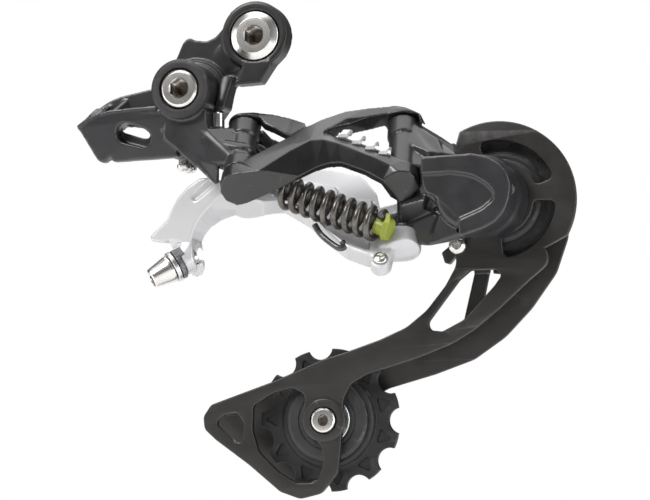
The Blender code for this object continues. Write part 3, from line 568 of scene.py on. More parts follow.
def clear_green(name):
    g = Graph(name)
    tone = g.mix(g.span(g.noise(240.0, 3.0), 0.35, 0.65, 0.0, 1.0), (0.20, 0.25, 0.02), (0.33, 0.38, 0.05))
    g.to("Base Color", tone)
    g.to("Roughness", g.span(g.noise(700.0, 3.0), 0.3, 0.7, 0.30, 0.42))
    g.to("Subsurface Weight", 0.15)
    g.to("Subsurface Scale", 0.002)
    g.bump(g.noise(1800.0, 2.0), 0.2, 0.00004)
    return g.mat


M_LINK = coated("satin_black_link", (0.0075, 0.0070, 0.0070), (0.005, 0.0048, 0.005), (0.011, 0.010, 0.0095), 0.30, 0.0, 0.72, grain=0.25, wear_and_sheen=0.10)
M_BLINK = coated("satin_black_hanger_link", (0.011, 0.0104, 0.0106), (0.008, 0.0078, 0.008), (0.015, 0.014, 0.014), 0.34, 0.0, 0.6, wear_and_sheen=0.14)
M_BODY = coated("satin_grey_body", (0.019, 0.0185, 0.021), (0.014, 0.0137, 0.0155), (0.026, 0.025, 0.028), 0.32, 0.0, 0.7, wear_and_sheen=0.22,
                wear_and_sheen_rgb=(0.40, 0.40, 0.42))
M_CAGE = coated("anodised_cage", (0.0170, 0.0150, 0.0138), (0.013, 0.0115, 0.0108), (0.022, 0.0195, 0.0178), 0.38, 0.0, 0.6, wear_and_sheen=0.25)
M_SILVER = silver_paint("silver_casting")
M_STEEL = turned_steel("turned_steel")
M_BOLT_A = turned_steel("hanger_bolt_steel", socket_shade_r=2.55)
M_BOLT_B = turned_steel("axle_bolt_steel", socket_shade_r=2.45)
M_BOLT_C = turned_steel("anchor_bolt_steel", socket_shade_r=1.8)
M_BOLT_D = turned_steel("pulley_bolt_steel", socket_shade_r=1.2)
M_PIN = turned_steel("ground_pin", (0.52, 0.51, 0.49), (0.25, 0.24, 0.23), 0.30)
M_SPRING = spring_steel("oiled_spring_steel")
M_CLIP = spring_steel("blued_clip_steel", (0.12, 0.115, 0.12))
M_RESIN = resin("pulley_resin")
M_COVER = resin("bearing_cover_finish", (0.026, 0.026, 0.028), 0.40, 0.5, 0.25)
M_CAP = resin("cap_ring_resin", (0.024, 0.023, 0.0235), 0.50, 0.45, 0.45)
M_RUBBER = resin("seal_rubber", (0.012, 0.012, 0.012), 0.62, 0.35, 0.7)
M_GREEN = clear_green("green_spring_seat")
M_WASHER = turned_steel("washer_steel", (0.74, 0.74, 0.74), (0.5, 0.5, 0.5), 0.30)
M_GRIP = spring_steel("grey_clamp_plate", (0.22, 0.22, 0.23), 0.42)


def done(obj, name, body, mat, nodes=(), sharp=32, flat=False):
    """Name a finished piece, tidy it, and give it its material, its body and the solids it stands for."""
    obj.name = name
    obj.data.name = name
    obj.data.materials.clear()
    obj.data.materials.append(mat)
    obj.data.shade_smooth()
    if sharp:
        obj.data.set_sharp_from_angle(angle=math.radians(sharp))
    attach(obj, body)
    if nodes:
        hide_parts(*nodes)
    return obj


# ----------------------------------------------------------------- hanger link
bx, bz = B_AXLE
px, pz = P_AXLE
gx, gz = GUIDE
tx, tz = TENSION

boss = union(ycyl((-0.1, 0.3), -6.6, 0, 10.7), ycyl((-0.1, 0.3), -6.9, -6.0, 10.2))
web = yplate(fillet([(-9.6, 4.6, 1), (-11.4, 2.3, 2), (-13.2, 0.4, 4), (-16.2, -0.9, 3), (-20.1, -0.4, 2), (-22.3, 0.7, 1.6), (-24.2, -1.2, 1.6),
                     (-26.3, -6.0, 3), (-28.6, -9.2, 5), (-31.0, -13.0, 6), (-31.4, -21.5, 7), (-25.5, -29.3, 7),
                     (-15.5, -29.4, 7), (-9.6, -23.0, 5), (-7.3, -14.6, 2), (1.6, -14.6, 2.5), (5.8, -9.0, 2), (7.5, -6.5, 2)]),
             -5.4, -0.4)
side = hull([(x, y, z) for x, z in ((10.0, 1.5), (9.2, -3.6), (6.4, -8.2), (4.8, -9.0), (0.5, -8.0), (6, 1)) for y in (-5.9, -0.6)])
lug = hull([(x, y, z) for x, z in ((-6.4, -15.4), (2.0, -15.0), (5.6, -9.4), (5.2, -8.2), (-3, -7.6)) for y in (-7.2, -1.0)])
tab = hull(disc_pts((-9.1, 0, -22.6), (0, 1, 0), 1.5, -13.4, -5.2, 20)
           + disc_pts((-8.0, 0, -14.8), (0, 1, 0), 2.0, -10.5, -5.2, 20))
fin = hull([(-8.2, -6.6, -12.2), (-7.0, -6.6, -14.6), (-9.6, -12.4, -22.4), (-8.0, -13.0, -23.4), (-8.6, -4.6, -22.8), (-9.6, -4.8, -14)])
neck = hull(disc_pts((-9.5, 0, -7.0), (0, 1, 0), 4.6, -5.4, -1.0, 24) + disc_pts((-5.0, 0, -3.6), (0, 1, 0), 5.0, -6.0, -1.0, 24))
step = hull(disc_pts((bx, 0, bz), (0, 1, 0), 11.3, -6.3, -1.0, 64))
b_link = union(boss, web, side, lug, tab, fin, neck, step)
b_link = cut(b_link,
             ycyl((0, 0), -9, -4.2, HANGER_HEAD_R + GAP),
             ycyl((0, 0), -10, 4, 5.35),
             ycyl((0, 0), -1.5, 2, 7.2),
             ycyl(B_AXLE, -8, 3, 4.1))
done(cast(b_link, 0.33, 4), "hanger_link_casting", "hanger_link", M_BLINK, ["b_link"], 0)

hexcut = hexrod((0, -9.5, 0), (0, -4.0, 0), 5.8)
bolt = yturned([(0, 7.9), (5.6, 7.9, .3), (7.7, 6.7, .3), (HANGER_HEAD_R, 6.2, .2), (HANGER_HEAD_R, 4.6), (5.0, 4.6), (5.0, -8.3),
                (4.2, -9.2), (0, -9.2)], (0, 0), 128)
bolt = cut(bolt, hexcut, cyl((0, -8.6, 0), (0, -7.4, 0), 3.9, 2.9, 64), cyl((0, -6, 0), (0, -1.5, 0), 1.9, seg=48))
done(rebase(bolt, side_frame(0, 0)), "hanger_bolt_fine", "hanger_bolt", M_BOLT_A, ["hanger_bolt"], 28)
# turned thread flights on the bolt's shank
pts = [(4.72 * math.cos(a), 1.2 + 6.6 * i / 288, 4.72 * math.sin(a)) for i, a in ((i, 2 * math.pi * i / 44) for i in range(289))]
done(rebase(tube(pts, 0.36, 2), side_frame(0, 0)), "hanger_bolt_thread", "hanger_bolt", M_STEEL, (), 60)
clip = yturned([(5.35, 1.25), (6.7, 1.25), (6.7, .25), (5.35, .25)], (0, 0), 96, True, .1)
clip = cut(clip, hull(box_pts((-1.2, 1.2), (-3, 1), (-9, -3))))
done(rebase(clip, side_frame(0, 0)), "hanger_bolt_circlip", "hanger_link", M_CLIP, ["hanger_bolt_clip"], 30)

b_bolt = yturned([(0, 22.05), (5.1, 22.05, .2), (5.9, 21.5, .25), (6.1, 21.0, .2), (6.1, 20.0), (3.75, 20.0), (3.75, 0.6), (3.2, 0.1), (0, 0.1)], B_AXLE, 128)
b_bolt = cut(b_bolt, hexrod((bx, -23, bz), (bx, -18.2, bz), 5.6), cyl((bx, -22.6, bz), (bx, -21.5, bz), 3.7, 2.8, 64), cyl((bx, -19, bz), (bx, -16, bz), 1.8, seg=48))
done(rebase(b_bolt, side_frame(bx, bz)), "b_axle_bolt_fine", "hanger_link", M_BOLT_B, ["b_axle_bolt"], 28)
cap = yturned([(6.5, 21.6), (6.9, 22.1, .2), (8.2, 22.1, .5), (9.3, 21.0, .6), (9.3, 20.0), (6.5, 20.0)], B_AXLE, 128, True, .15)
done(rebase(cap, side_frame(bx, bz)), "b_axle_cap", "bracket", M_CAP, ["b_axle_cap_ring"], 30)

# ---------------------------------------------------------------- bracket body
barrel = union(ycyl(B_AXLE, -19.7, -6.2, 9.2), ycyl(B_AXLE, -8.4, -6.9, 10.4))
front = hull([(x, y, z) for x, z, y0 in ((-55.6, -28.2, -15.9), (-49.4, -24.8, -16.2), (-44.8, -23.7, -16.5), (-28.6, -23.0, -16.9), (-25.4, -26.0, -17.2),
                                        (-22.2, -38.6, -15.2), (-46.4, -38.8, -14.6), (-48.0, -39.6, -14.6), (-49.4, -38.6, -14.6)) for y in (y0, -11.4)])
upper = hull([(x, y, z) for x, z in ((-56.6, -27.2), (-53.2, -24.2), (-48.9, -20.9), (-46.4, -19.5), (-43.0, -18.3), (-32.9, -16.3), (-27.0, -15.6), (-24.0, -24.0), (-47.0, -30.0))
              for y in (-10.9, -8.2)])
flange = hull([(x, y, z) for x, z in ((-47.6, -38.6), (-24.0, -38.2), (-24.0, -33.0), (-47.0, -33.0)) for y in (-12.0, -9.4)])
tip = hull(ring_points((-53.6, -12.2, -24.6), (-0.62, -0.30, 0.72), 3.9, 32) + ring_points((-49.8, -11.6, -30.2), (-0.55, -0.24, 0.80), 4.0, 32)
           + [(-55.8, -15.9, -28.4), (-49.0, -15.9, -25.2), (-56.4, -9.0, -27.6), (-48.6, -9.0, -21.6)])
ridge = tube([(-55.6, -15.7, -28.1), (-52.2, -15.9, -26.2), (-49.2, -16.0, -24.8), (-44.6, -16.3, -23.8), (-36.0, -16.6, -23.3), (-28.8, -16.8, -23.0)], 0.5, 4)
web1 = hull([(-44.8, -15.8, -23.9), (-43.6, -15.8, -23.8), (-40.2, -10.4, -19.0), (-41.4, -10.4, -18.9), (-38.2, -10.0, -23.4), (-44, -10, -23.9)])
web2 = hull([(-49.6, -15.6, -25.2), (-45.6, -15.8, -24.0), (-46.2, -9.4, -20.0), (-49.2, -9.4, -21.6), (-52.6, -12.0, -25.0)])
wedge = hull([(-26.4, -17.5, -32.6), (-26.0, -10.0, -32.8), (-24.6, -17.6, -23.6), (-12.0, -18.6, -24.6), (-11.6, -19.2, -40.6), (-15.6, -18.4, -42.2),
              (-15.8, -12.4, -42.2), (-12.0, -11.0, -24.0), (-11.6, -11.0, -40.6)])
panel = hull([(-14.2, -18.9, -40.6), (-7.6, -19.4, -40.2), (-7.4, -20.2, -47.6), (-8.4, -20.2, -48.2), (-14.2, -18.0, -40.6), (-7.6, -18.2, -40.2),
              (-7.4, -18.9, -47.6), (-8.4, -18.9, -48.2), (-16.4, -18.2, -40.9), (-16.0, -17.2, -41.6)])
shoulder = hull([(-27.5, -17.2, -25.2), (-24.6, -18.0, -23.2), (-12.4, -18.8, -25.4), (-12.2, -18.6, -30.8), (-22.4, -17.8, -31.8), (-27.2, -16.8, -30.2),
                 (-25, -12, -25), (-13, -12, -25), (-13, -12, -31), (-26, -12, -31)])
knuckle_o = hull(ldisc(0, 0, 5.6, 25.4, 4.3))
collar_o = hull(ldisc(0, 0, 19.6, 25.4, 4.9))
collar_p = hull(ldisc(0, 0, 5.6, 10.0, 4.9))
knuckle_i = hull(ldisc(0, W, 12.0, 19.6, 4.3))
web_b = hull(ldisc(0, 0, 13.6, 19.6, 2.4, 16) + ldisc(0, W, 13.6, 19.2, 2.4, 16))
bridge = hull(ldisc(-0.6, 0, 8.0, 22.0, 3.2, 16) + [(x, y, z) for x in (-14.5, -12.2) for y in (-18.6, -9.4) for z in (-40.6, -30.5)])
rib_b = hull(ldisc(0, 0, 12.2, 14.0, 4.9, 24) + [(x, y, z) for x in (-13.2, -12.2) for y in (-19.0, -12.0) for z in (-34.6, -33.2)])
limit_boss = hull(box_pts((-26.0, -17.6), (-14.0, -1.0), (-38.4, -33.0)) + box_pts((-24.0, -18.0), (-14, -8), (-30.5, -31)))
screw_lug = hull(box_pts((-14.5, -7.6), (-15.0, -9.0), (-35.0, -29.4)))
house = union(hull(lsec(*[(q, t, c) for q, t in ((-3.8, 3.0), (3.2, 3.0), (9.2, 7.8), (9.2, 12.2), (-3.8, 12.2)) for c in (16.0, 24.6)])),
              hull(lsec(*[(q, t, c) for q, t in ((4.0, 6.0), (8.6, 7.4), (13.0, 11.2), (13.0, 12.2), (0.0, 12.2)) for c in (17.4, 27.2)])),
              hull(disc_pts(L(-2.0, 4.2, 24.4), EX, 2.6, 0, 7.6, 24) + disc_pts(L(8.0, 8.4, 24.4), EX, 2.0, 0, 0.5, 24)))
floor_b = hull(box_pts((-44.6, -29.6), (-11.9, -10.4), (-37.4, -27.0)))
body = union(barrel, front, upper, flange, floor_b, house, tip, ridge, web1, web2, wedge, panel, shoulder, knuckle_o, collar_o, collar_p, knuckle_i, web_b, bridge,
             rib_b, limit_boss, screw_lug)
body = cut(body,
           ycyl(B_AXLE, -25, 0, 5.8),
           hull(disc_pts((-39.3, 0, -30.6), (0, 1, 0), 3.2, -22, -11.2, 32) + disc_pts((-33.9, 0, -32.4), (0, 1, 0), 2.9, -22, -11.2, 32)),
           hull(disc_pts((-41.2, 0, -28.9), (0, 1, 0), 1.0, -12.5, 2, 24) + disc_pts((-35.6, 0, -30.2), (0, 1, 0), 1.5, -12.5, 2, 24)
                + disc_pts((-34.0, 0, -31.0), (0, 1, 0), 1.0, -12.5, 2, 24)),
           cyl((-58.6, -14.6, -18.8), (-49.8, -11.6, -30.2), 3.0),
           cyl((-49.9, -11.6, -30.0), (-48.0, -10.9, -32.9), 1.3, seg=24),
           hull([(x, y, z) for x, z in ((-47.6, -40.4), (-44.8, -37.6), (-43.6, -40.4)) for y in (-18, -5)]),
           cyl(L(0, 0, 3), L(0, 0, 28), BORE_R, seg=48),
           cyl(L(0, W, -1), L(0, W, 22), BORE_R, seg=48),
           cyl((-10.1, -12, -40), (-10.1, -12, -25), 2.35, seg=24),
           cyl((-10.1, -12, -42), (-10.1, -12, -35.3), 3.6, seg=32),
           cyl((-22.0, -9.8, -42), (-22.0, -9.8, -32.0), 2.05, seg=24),
           cyl((-22.0, -4.2, -42), (-22.0, -4.2, -32.0), 2.05, seg=24),
           hull(box_pts((-30.6, -14.2), (-13.2, -8.9), (-33.4, -31.0)) + box_pts((-28.2, -16.2), (-13.2, -8.9), (-31.0, -30.2))))
done(cast(body, 0.36, 4), "bracket_casting", "bracket", M_BODY, ["bracket_body"], 0)


def pan_screw(tip, head, r, head_r, head_h, name, body, node, thread=True):
    """Pan-head cross-slot screw with its thread."""
    tip, head = Vector(tip), Vector(head)
    d = (head - tip).normalized()
    length = (head - tip).length
    m = axes(tip, d)
    ob = turned(soften([(0, length + head_h), (head_r * 0.55, length + head_h, .6), (head_r * 0.95, length + head_h * 0.62, .5),
                        (head_r, length + head_h * .2, .2), (head_r, length), (r, length), (r, 0.5), (r - 0.45, 0), (0, 0)], .12, 4), m, 64)
    top = head + d * head_h
    x = m.to_3x3() @ Vector((1, 0, 0))
    y = m.to_3x3() @ Vector((0, 1, 0))
    w, k = head_r * 0.15, head_r * 0.66
    for u, v in ((x, y), (y, x)):
        pts = [top + u * (k * i) + v * (w * j) + d * 0.6 for i in (-1, 1) for j in (-1, 1)] + \
              [top + u * (k * .45 * i) + v * (w * .8 * j) - d * 1.0 for i in (-1, 1) for j in (-1, 1)]
        ob = cut(ob, hull(pts))
    ob = cut(ob, cyl(top - d * 1.1, top + d * .3, head_r * .12, head_r * .34, 16))
    done(rebase(ob, m), name, body, M_STEEL, [node], 28)
    if thread:
        n, pitch = 22, 0.7
        turns = (length - 0.6) / pitch
        pts = [m @ (Vector(((r - 0.22) * math.cos(2 * math.pi * i / n), (r - 0.22) * math.sin(2 * math.pi * i / n), 0.4 + pitch * i / n)) * MM) / MM
               for i in range(int(turns * n))]
        done(rebase(tube(pts, 0.2, 1), m), name + "_thread", body, M_STEEL, (), 60)


pan_screw((-10.1, -12, -24.7), (-10.1, -12, -37.2), 2.0, 3.1, 1.9, "b_screw", "b_tension_screw", "b_tension_screw")
pan_screw((-22.0, -9.8, -32.4), (-22.0, -9.8, -40.6), 1.7, 2.2, 1.9, "high_screw", "limit_screw_high", "limit_screw_high")
pan_screw((-22.0, -4.2, -32.4), (-22.0, -4.2, -40.6), 1.7, 2.2, 1.9, "low_screw", "limit_screw_low", "limit_screw_low")


# ------------------------------------------------------------------ outer link
lobe_l = lsec((-5.6, -0.8, 0.6), (-5.7, 2.0, -0.6), (-4.2, 4.7, -1.6), (-1.0, 6.3, -2.1), (1.6, 5.8, -1.9), (6.5, 3.8, -1.0), (10.5, 1.6, -0.4),
              (15.8, -1.4, -0.3), (10.0, -4.6, 0.0), (7.0, -7.1, 0.0), (2.0, -6.1, 0.2), (-3.0, -4.0, 0.5))
lobe_l_top = lsec((-5.4, -0.6, 4.6), (-2.8, -3.9, 4.4), (2.0, -5.6, 2.4), (4.8, -6.2, 2.2), (9.0, -6.2, 7.4), (12.5, -2.4, 5.6), (14.5, -1.0, 2.4), (9.0, -2.0, 6.4))
ear_l = ldisc(0, 0, 0.6, 5.2, EAR_R)
a1 = lsec((14.1, -6.1, 14.4), (14.1, -3.6, 13.6), (16.6, -8.2, 7.6), (15.2, -7.6, 9.8), (19.0, -4.2, 0.2), (18.4, -1.6, 1.0), (14.4, -2.8, 7.0))
a2 = lsec((20.0, -6.1, 19.2), (20.0, -3.6, 18.4), (22.0, -8.4, 11.3), (24.2, -4.8, 3.4), (23.6, -2.0, 4.0), (20.4, -3.4, 10.0))
a3 = lsec((25.0, -5.9, 22.7), (25.0, -3.2, 22.0), (26.2, -8.4, 11.5), (28.0, -4.6, 5.2), (27.6, -1.8, 5.8), (26.4, -3.4, 12.0))
d0 = lsec((26.6, -5.8, 17.6), (26.6, -3.4, 16.8), (26.2, -8.4, 11.5), (28.0, -4.6, 5.2), (27.6, -1.8, 5.8))
d1 = lsec((30.2, -5.5, 15.2), (30.0, -3.2, 14.4), (30.6, -8.0, 10.3), (31.6, -4.6, 5.4), (31.4, -1.8, 6.0))
d2 = lsec((39.4, -5.2, 11.0), (39.2, -2.8, 10.2), (39.9, -6.7, 6.3), (38.8, -4.0, 2.4), (38.8, -1.0, 3.0))
d3 = lsec((47.4, -4.8, 7.6), (47.0, -2.4, 7.0), (46.6, -5.4, 3.2), (44.2, -2.6, -0.4), (44.2, 0.4, 0.2))
lobe_r = lsec((43.9, 0.0, 0.0), (46.3, 4.1, -1.2), (49.4, 6.0, -2.1), (52.6, 4.5, -1.2), (55.2, 1.8, 0.0), (55.0, -1.6, 1.0), (53.8, -3.2, 0.2), (49.2, -4.9, 1.8)) \
    + ldisc(E, 0, 0.8, 5.2, EAR_R)
u0 = lsec((25.0, -5.9, 22.7), (25.0, -3.2, 22.0), (27.2, -7.2, 17.4), (27.6, -3.0, 17.6))
u1 = lsec((31.8, -4.6, 27.2), (31.8, -0.4, 26.6), (32.0, -5.6, 23.0), (33.4, 0.2, 21.8), (33.2, -4.6, 21.6))
u2 = lsec((38.9, -4.2, 28.9), (38.9, 0.8, 28.2), (39.2, -4.6, 24.8), (39.2, 0.9, 24.2))
u3 = lsec((45.6, -4.4, 29.4), (45.6, 0.8, 28.8), (44.6, -4.6, 25.9), (44.0, 1.0, 25.9))
ear_u = ldisc(E, 0, 25.8, 26.9, EAR_R + 0.5) + ldisc(E, 1.2, 27.0, 29.0, 4.2) + lsec((47.4, -4.8, 29.2), (50.4, -4.8, 28.4), (54.6, -4.2, 25.8))
skirt_u = lsec((55.2, -4.3, 25.8), (56.2, -3.8, 22.2), (55.6, -0.6, 26.4), (56.0, -1.6, 24.0), (54.4, -4.9, 25.8), (54.9, -5.0, 22.4), (56.9, -2.6, 22.6))
v1 = lsec((3.6, -3.8, 28.1), (3.6, -0.2, 27.6), (5.0, -4.2, 25.9), (5.0, -0.8, 25.9), (6.6, -3.8, 23.0), (6.6, -1.2, 22.8))
v2 = lsec((9.2, -3.9, 27.1), (9.2, -1.0, 26.5), (9.6, -4.1, 21.2), (9.6, -1.4, 21.0))
v3 = lsec((15.1, -4.6, 24.5), (15.1, -2.0, 24.0), (13.8, -4.9, 17.4), (13.8, -2.4, 17.2))
v4 = lsec((19.6, -5.6, 21.6), (19.6, -3.2, 21.0), (16.6, -6.0, 15.6), (17.6, -3.4, 15.2), (20.4, -6.0, 18.6))
ear_ul = ldisc(0, 0, 25.8, 26.6, 5.2) + ldisc(0, 1.2, 27.4, 29.0, 3.8)
v0 = lsec((3.6, -3.8, 28.1), (3.6, -0.2, 27.6), (5.0, -4.2, 25.9), (5.0, -0.8, 25.9))

parts = [hull(lobe_l + ear_l + lobe_l_top[:4])]
parts += chain(lobe_l_top + lsec((7.0, -7.2, 0.2), (15.8, -1.4, 0.0), (10.0, -4.6, 0.1)), a1, a2, a3)
parts += chain(a3[2:] + lsec((26.4, -6.6, 16.4), (26.4, -3.4, 16.0)), d0, d1, d2, d3, lobe_r)
parts += chain(a2[:3] + u0[2:], u0, u1, u2, u3, ear_u)
parts += [hull(ear_u + lsec((55.2, -4.3, 25.9), (55.6, -0.6, 26.2), (54.4, -4.9, 25.9))), hull(skirt_u)]
parts += chain(ear_ul, v0) + chain(v1, v2, v3, v4)
outer = union(*parts)
outer = cut(outer,
            cyl(L(0, 0, 1.4), L(0, 0, 28.5), BORE_R, seg=48),
            cyl(L(E, 0, 1.4), L(E, 0, 28.5), BORE_R, seg=48))
outer = cast(outer, 0.34, 3)
done(outer, "outer_link_shell", "outer_link", M_LINK, ["outer_link"], 0)

# plain silver trim bars set in the window of the outer link
bars = []
for s0, c0, w0, h0 in ((32.4, 16.0, 2.9, 3.0), (36.5, 13.5, 2.9, 3.2), (40.6, 11.2, 3.0, 3.0), (44.7, 9.2, 2.7, 2.8)):
    t0 = -6.2 + (s0 - 32.4) * 0.05
    bars.append(hull(lsec(*[(s0 + ds + (0.7 if dc > 0 else -0.7), t, c0 + dc) for ds in (-w0 / 2, w0 / 2) for dc in (-h0 / 2, h0 / 2) for t in (t0, t0 + 1.6)])
                     + lsec(*[(s0 + ds * .7 + (0.5 if dc > 0 else -0.5), t0 - 0.8, c0 + dc * .6) for ds in (-w0 / 2, w0 / 2) for dc in (-h0 / 2, h0 / 2)])))
spine = hull(lsec(*[(s, t, c) for s, c in ((30.4, 16.8), (30.2, 15.6), (46.6, 7.4), (46.6, 8.8)) for t in (-5.9, -4.6)]))
trim = union(spine, *bars)
m = trim.modifiers.new("edge", "BEVEL")
m.width, m.segments, m.limit_method, m.angle_limit = 0.14 * MM, 3, "ANGLE", math.radians(30)
done(bake(trim), "outer_link_bars", "outer_link", M_SILVER, ["outer_link_trim"], 30)

# ------------------------------------------------------------------ inner link
wall = plate(fillet([(5.2, 6.2, 1), (12.0, 6.8, 3), (20.6, 0.2, 5), (27.0, -7.2, 4), (32.5, -12.6, 4), (39.6, -15.8, 4),
                     (46.4, -15.0, 3), (47.0, -10.0, 2), (42.4, -5.4, 1), (42.4, 5.0, 1), (41.0, 12.0, 3), (36.0, 19.6, 4), (26.0, 22.4, 4),
                     (8.0, 24.2, 2), (6.0, 19.6, 1), (6.4, 12.0, 2)]), -1.9, 1.2, LINK_INNER)
rim = chain(*[lsec((s, W - 4.4, c), (s, W + 1.8, c), (s + .6, W - 4.4, c - 1.9), (s + .4, W + 1.8, c - 2.0)) for s, c in
              ((5.0, 8.2), (12.4, 8.6), (20.9, 1.8), (27.2, -5.6), (32.4, -10.8), (38.6, -13.8), (45.5, -14.6))])
i_rear_low = hull(ldisc(0, W, 7.4, 11.6, 5.0) + [L(8, W + t, c) for t in (-2.2, 1.9) for c in (6.4, 11.6)])
i_rear_up = hull(ldisc(0, W, 20.0, 24.4, 4.8) + [L(9, W + t, c) for t in (-2.2, 1.9) for c in (20.2, 24.0)])
i_front_low = hull(ldisc(E, W, -10.4, -5.4, 5.6) + ldisc(E, W - 1.2, -11.4, -6.0, 5.2) + [L(E - 10, W + t, c) for t in (-3.4, 1.9) for c in (-14.0, -5.0)])
i_front_up = hull(ldisc(E, W, 1.0, 5.0, 4.8) + [L(E - 9, W + t, c) for t in (-2.2, 1.9) for c in (1.0, 5.0)])
boss_i = hull([L(s, W + t, c) for s, t, c in ((30.5, -3.9, 7.6), (39.8, -3.9, 7.2), (39.8, -3.9, 1.6), (31.5, -3.9, 2.2), (29.8, 0, 8.4), (40.6, 0, 8.0), (40.4, 0, 1.0), (31, 0, 1.2))])
boss_u = hull([L(s, W + t, c) for s, t, c in ((14.0, -3.2, 16.8), (27.6, -3.2, 13.8), (29.0, -3.2, 9.6), (27.0, -3.2, 8.0), (16.0, -3.2, 12.0), (13.0, 0, 17.4), (29.0, 0, 14.4),
                                              (30.0, 0, 8.8), (27, 0, 7.0), (15, 0, 11))])
screw_ear = hull(disc_pts(L(E - 6.4, W - 3.2, -17.4), EY, 3.2, -0.9, 3.6, 28) + [L(s, W + t, -9) for s in (E - 9.4, E - 2.4) for t in (-3, 1.8)])
AY0, AY1 = -10.4, -6.2
arm_face = yplate(fillet([(-12.6, -44.8, 1.5), (-16.8, -45.0, 3), (-20.9, -47.7, 5), (-24.0, -51.0, 5), (-26.0, -54.4, 5), (-27.4, -57.7, 2), (-33.1, -62.9, 1.0),
                          (-32.8, -64.4, .8), (-27.7, -65.0, 1.5), (-26.2, -63.6, 1.0), (-24.4, -64.4, 1.0), (-19.4, -66.4, 1.0), (-19.3, -63.7, 4), (-18.2, -60.5, 6), (-16.3, -57.3, 6),
                          (-13.4, -54.1, 6), (-9.6, -50.4, 3), (-8.6, -46.4, 2)]), AY0, AY1 + 1.0)
arm_groove = hull(disc_pts((-18.2, 0, -51.0), (0, 1, 0), 1.0, AY0 - 1, AY0 + 1.1, 20) + disc_pts((-13.0, 0, -46.6), (0, 1, 0), 1.2, AY0 - 1, AY0 + 1.1, 20))
sweep = chain(
    ldisc(2.0, W, 7.2, 10.8, 4.4) + [Vector((8.4, -3.2, -54.4)), Vector((2.0, -3.4, -55.0))],
    [Vector(p) for p in ((-9.6, -9.8, -50.6), (-8.6, -9.4, -47.4), (-3.6, -2.8, -55.0), (-8.0, -3.0, -56.2), (-9.4, -1.4, -50.0))],
    [Vector(p) for p in ((-13.6, -9.8, -54.2), (-15.0, -9.0, -50.6), (-11.4, -2.6, -57.4), (-15.0, -2.6, -53.0), (-12.0, -3.0, -58.0))],
    [Vector(p) for p in ((-16.4, -9.8, -57.4), (-21.0, -9.0, -55.6), (-15.1, -2.8, -60.0), (-19.6, -3.0, -57.4))],
    [Vector(p) for p in ((-18.3, -9.8, -60.6), (-22.6, -9.0, -60.2), (-17.3, -2.8, -62.4), (-21.6, -3.2, -61.0))],
    [Vector(p) for p in ((-19.4, -9.8, -63.8), (-24.0, -9.0, -63.0), (-18.2, -2.8, -64.6), (-23.0, -3.4, -64.0))])
lug_i = hull([Vector(p) for p in ((-19.3, -9.6, -66.2), (-18.0, -4.6, -66.0), (-17.0, -4.2, -69.6), (-16.7, -4.2, -72.9), (-17.5, -4.2, -75.0), (-19.2, -4.6, -76.0),
                                 (-20.6, -5.4, -75.4), (-21.4, -7.4, -70.0), (-21.2, -9.4, -66.4), (-19.3, -9.6, -63.8), (-18.2, -3.0, -64.6), (-22, -3.4, -66))])
neck_i = hull([Vector(p) for p in ((-9.6, -9.4, -50.4), (-8.6, -9.2, -47.0), (-7.0, -4.2, -55.0), (-13.0, -8.4, -46.4), (-12.0, -5.0, -47.4))] + ldisc(0, W, 7.2, 10.8, 4.6))
flow = hull(ldisc(0, W, 7.2, 10.8, 4.6) + [L(9.0, W + t, c) for t in (-4.4, 1.8) for c in (6.6, 9.4)])
foot = hull(disc_pts(ANCHOR, ANCHOR_DIR, 4.4, -3.0, 0, 32) + [(x, y, z) for x in (-22.4, -19.4) for y in (AY0 + .4, AY1) for z in (-64.4, -66.2)])
hook = hull(disc_pts(ANCHOR + ANCHOR_DIR * .2 + Vector((-1.4, .6, 4.4)), ANCHOR_DIR, 1.3, -1.6, .9, 16) + [(-27.2, -10.2, -63.8), (-24.0, -10.2, -64.6), (-27.0, -7.4, -63.8), (-24, -7.4, -64.8)])
inner = union(wall, i_rear_low, i_rear_up, i_front_low, i_front_up, boss_i, boss_u, screw_ear, arm_face, lug_i, neck_i, flow, foot, hook, *rim, *sweep)
inner = cut(inner, arm_groove,
            cyl(L(0, W, 8.0), L(0, W, 27), BORE_R, seg=48),
            cyl(L(E, W, -9.1), L(E, W, 23), BORE_R, seg=48),
            cyl(ANCHOR - ANCHOR_DIR * 8, ANCHOR + ANCHOR_DIR * 3, 2.75, seg=48),
            cyl(L(E - 6.4, W - 7, -17.4), L(E - 6.4, W + 3, -17.4), 1.75, seg=32),
            cyl(L(0, W, 11.65), L(0, W, 19.95), 4.9, seg=48),
            cyl(L(E, W, -5.35), L(E, W, 0.95), 4.9, seg=48))
done(cast(inner, 0.36, 5), "inner_link_casting", "inner_link", M_SILVER, ["inner_link"], 0)

A, D = ANCHOR, ANCHOR_DIR
am = axes(A, D)
cp = turned(soften([(2.75, 1.75), (4.7, 1.75), (4.85, 1.4), (4.85, .35), (2.75, .35)], .12, 3, True), am, 64, True)
lip = hull([am @ (Vector((x, y, z)) * MM) / MM for x in (-1.6, 1.6) for y in (3.2, 4.9) for z in (-1.4, 1.7)])
cp = union(cp, lip)
done(rebase(cp, am), "cable_clamp", "inner_link", M_GRIP, ["cable_clamp_plate"], 28)
wa = turned(soften([(2.75, 3.45), (4.8, 3.45), (5.0, 3.2), (5.0, 2.15), (2.75, 2.15)], .12, 3, True), am, 96, True)
done(rebase(wa, am), "anchor_washer", "inner_link", M_WASHER, ["cable_clamp_washer"], 28)
ab = turned(soften([(0, 10.9), (2.7, 10.9, .25), (3.15, 10.5, .2), (3.4, 9.0, .1), (4.3, 4.6, .3), (4.3, 3.8, .1), (2.4, 3.75), (2.4, -5.2), (0, -5.2)], .1, 4), am, 96)
ab = cut(ab, hexrod(A + D * 6.2, A + D * 12, 4.4), cyl(A + D * 10.3, A + D * 11.4, 2.2, 2.9, 48))
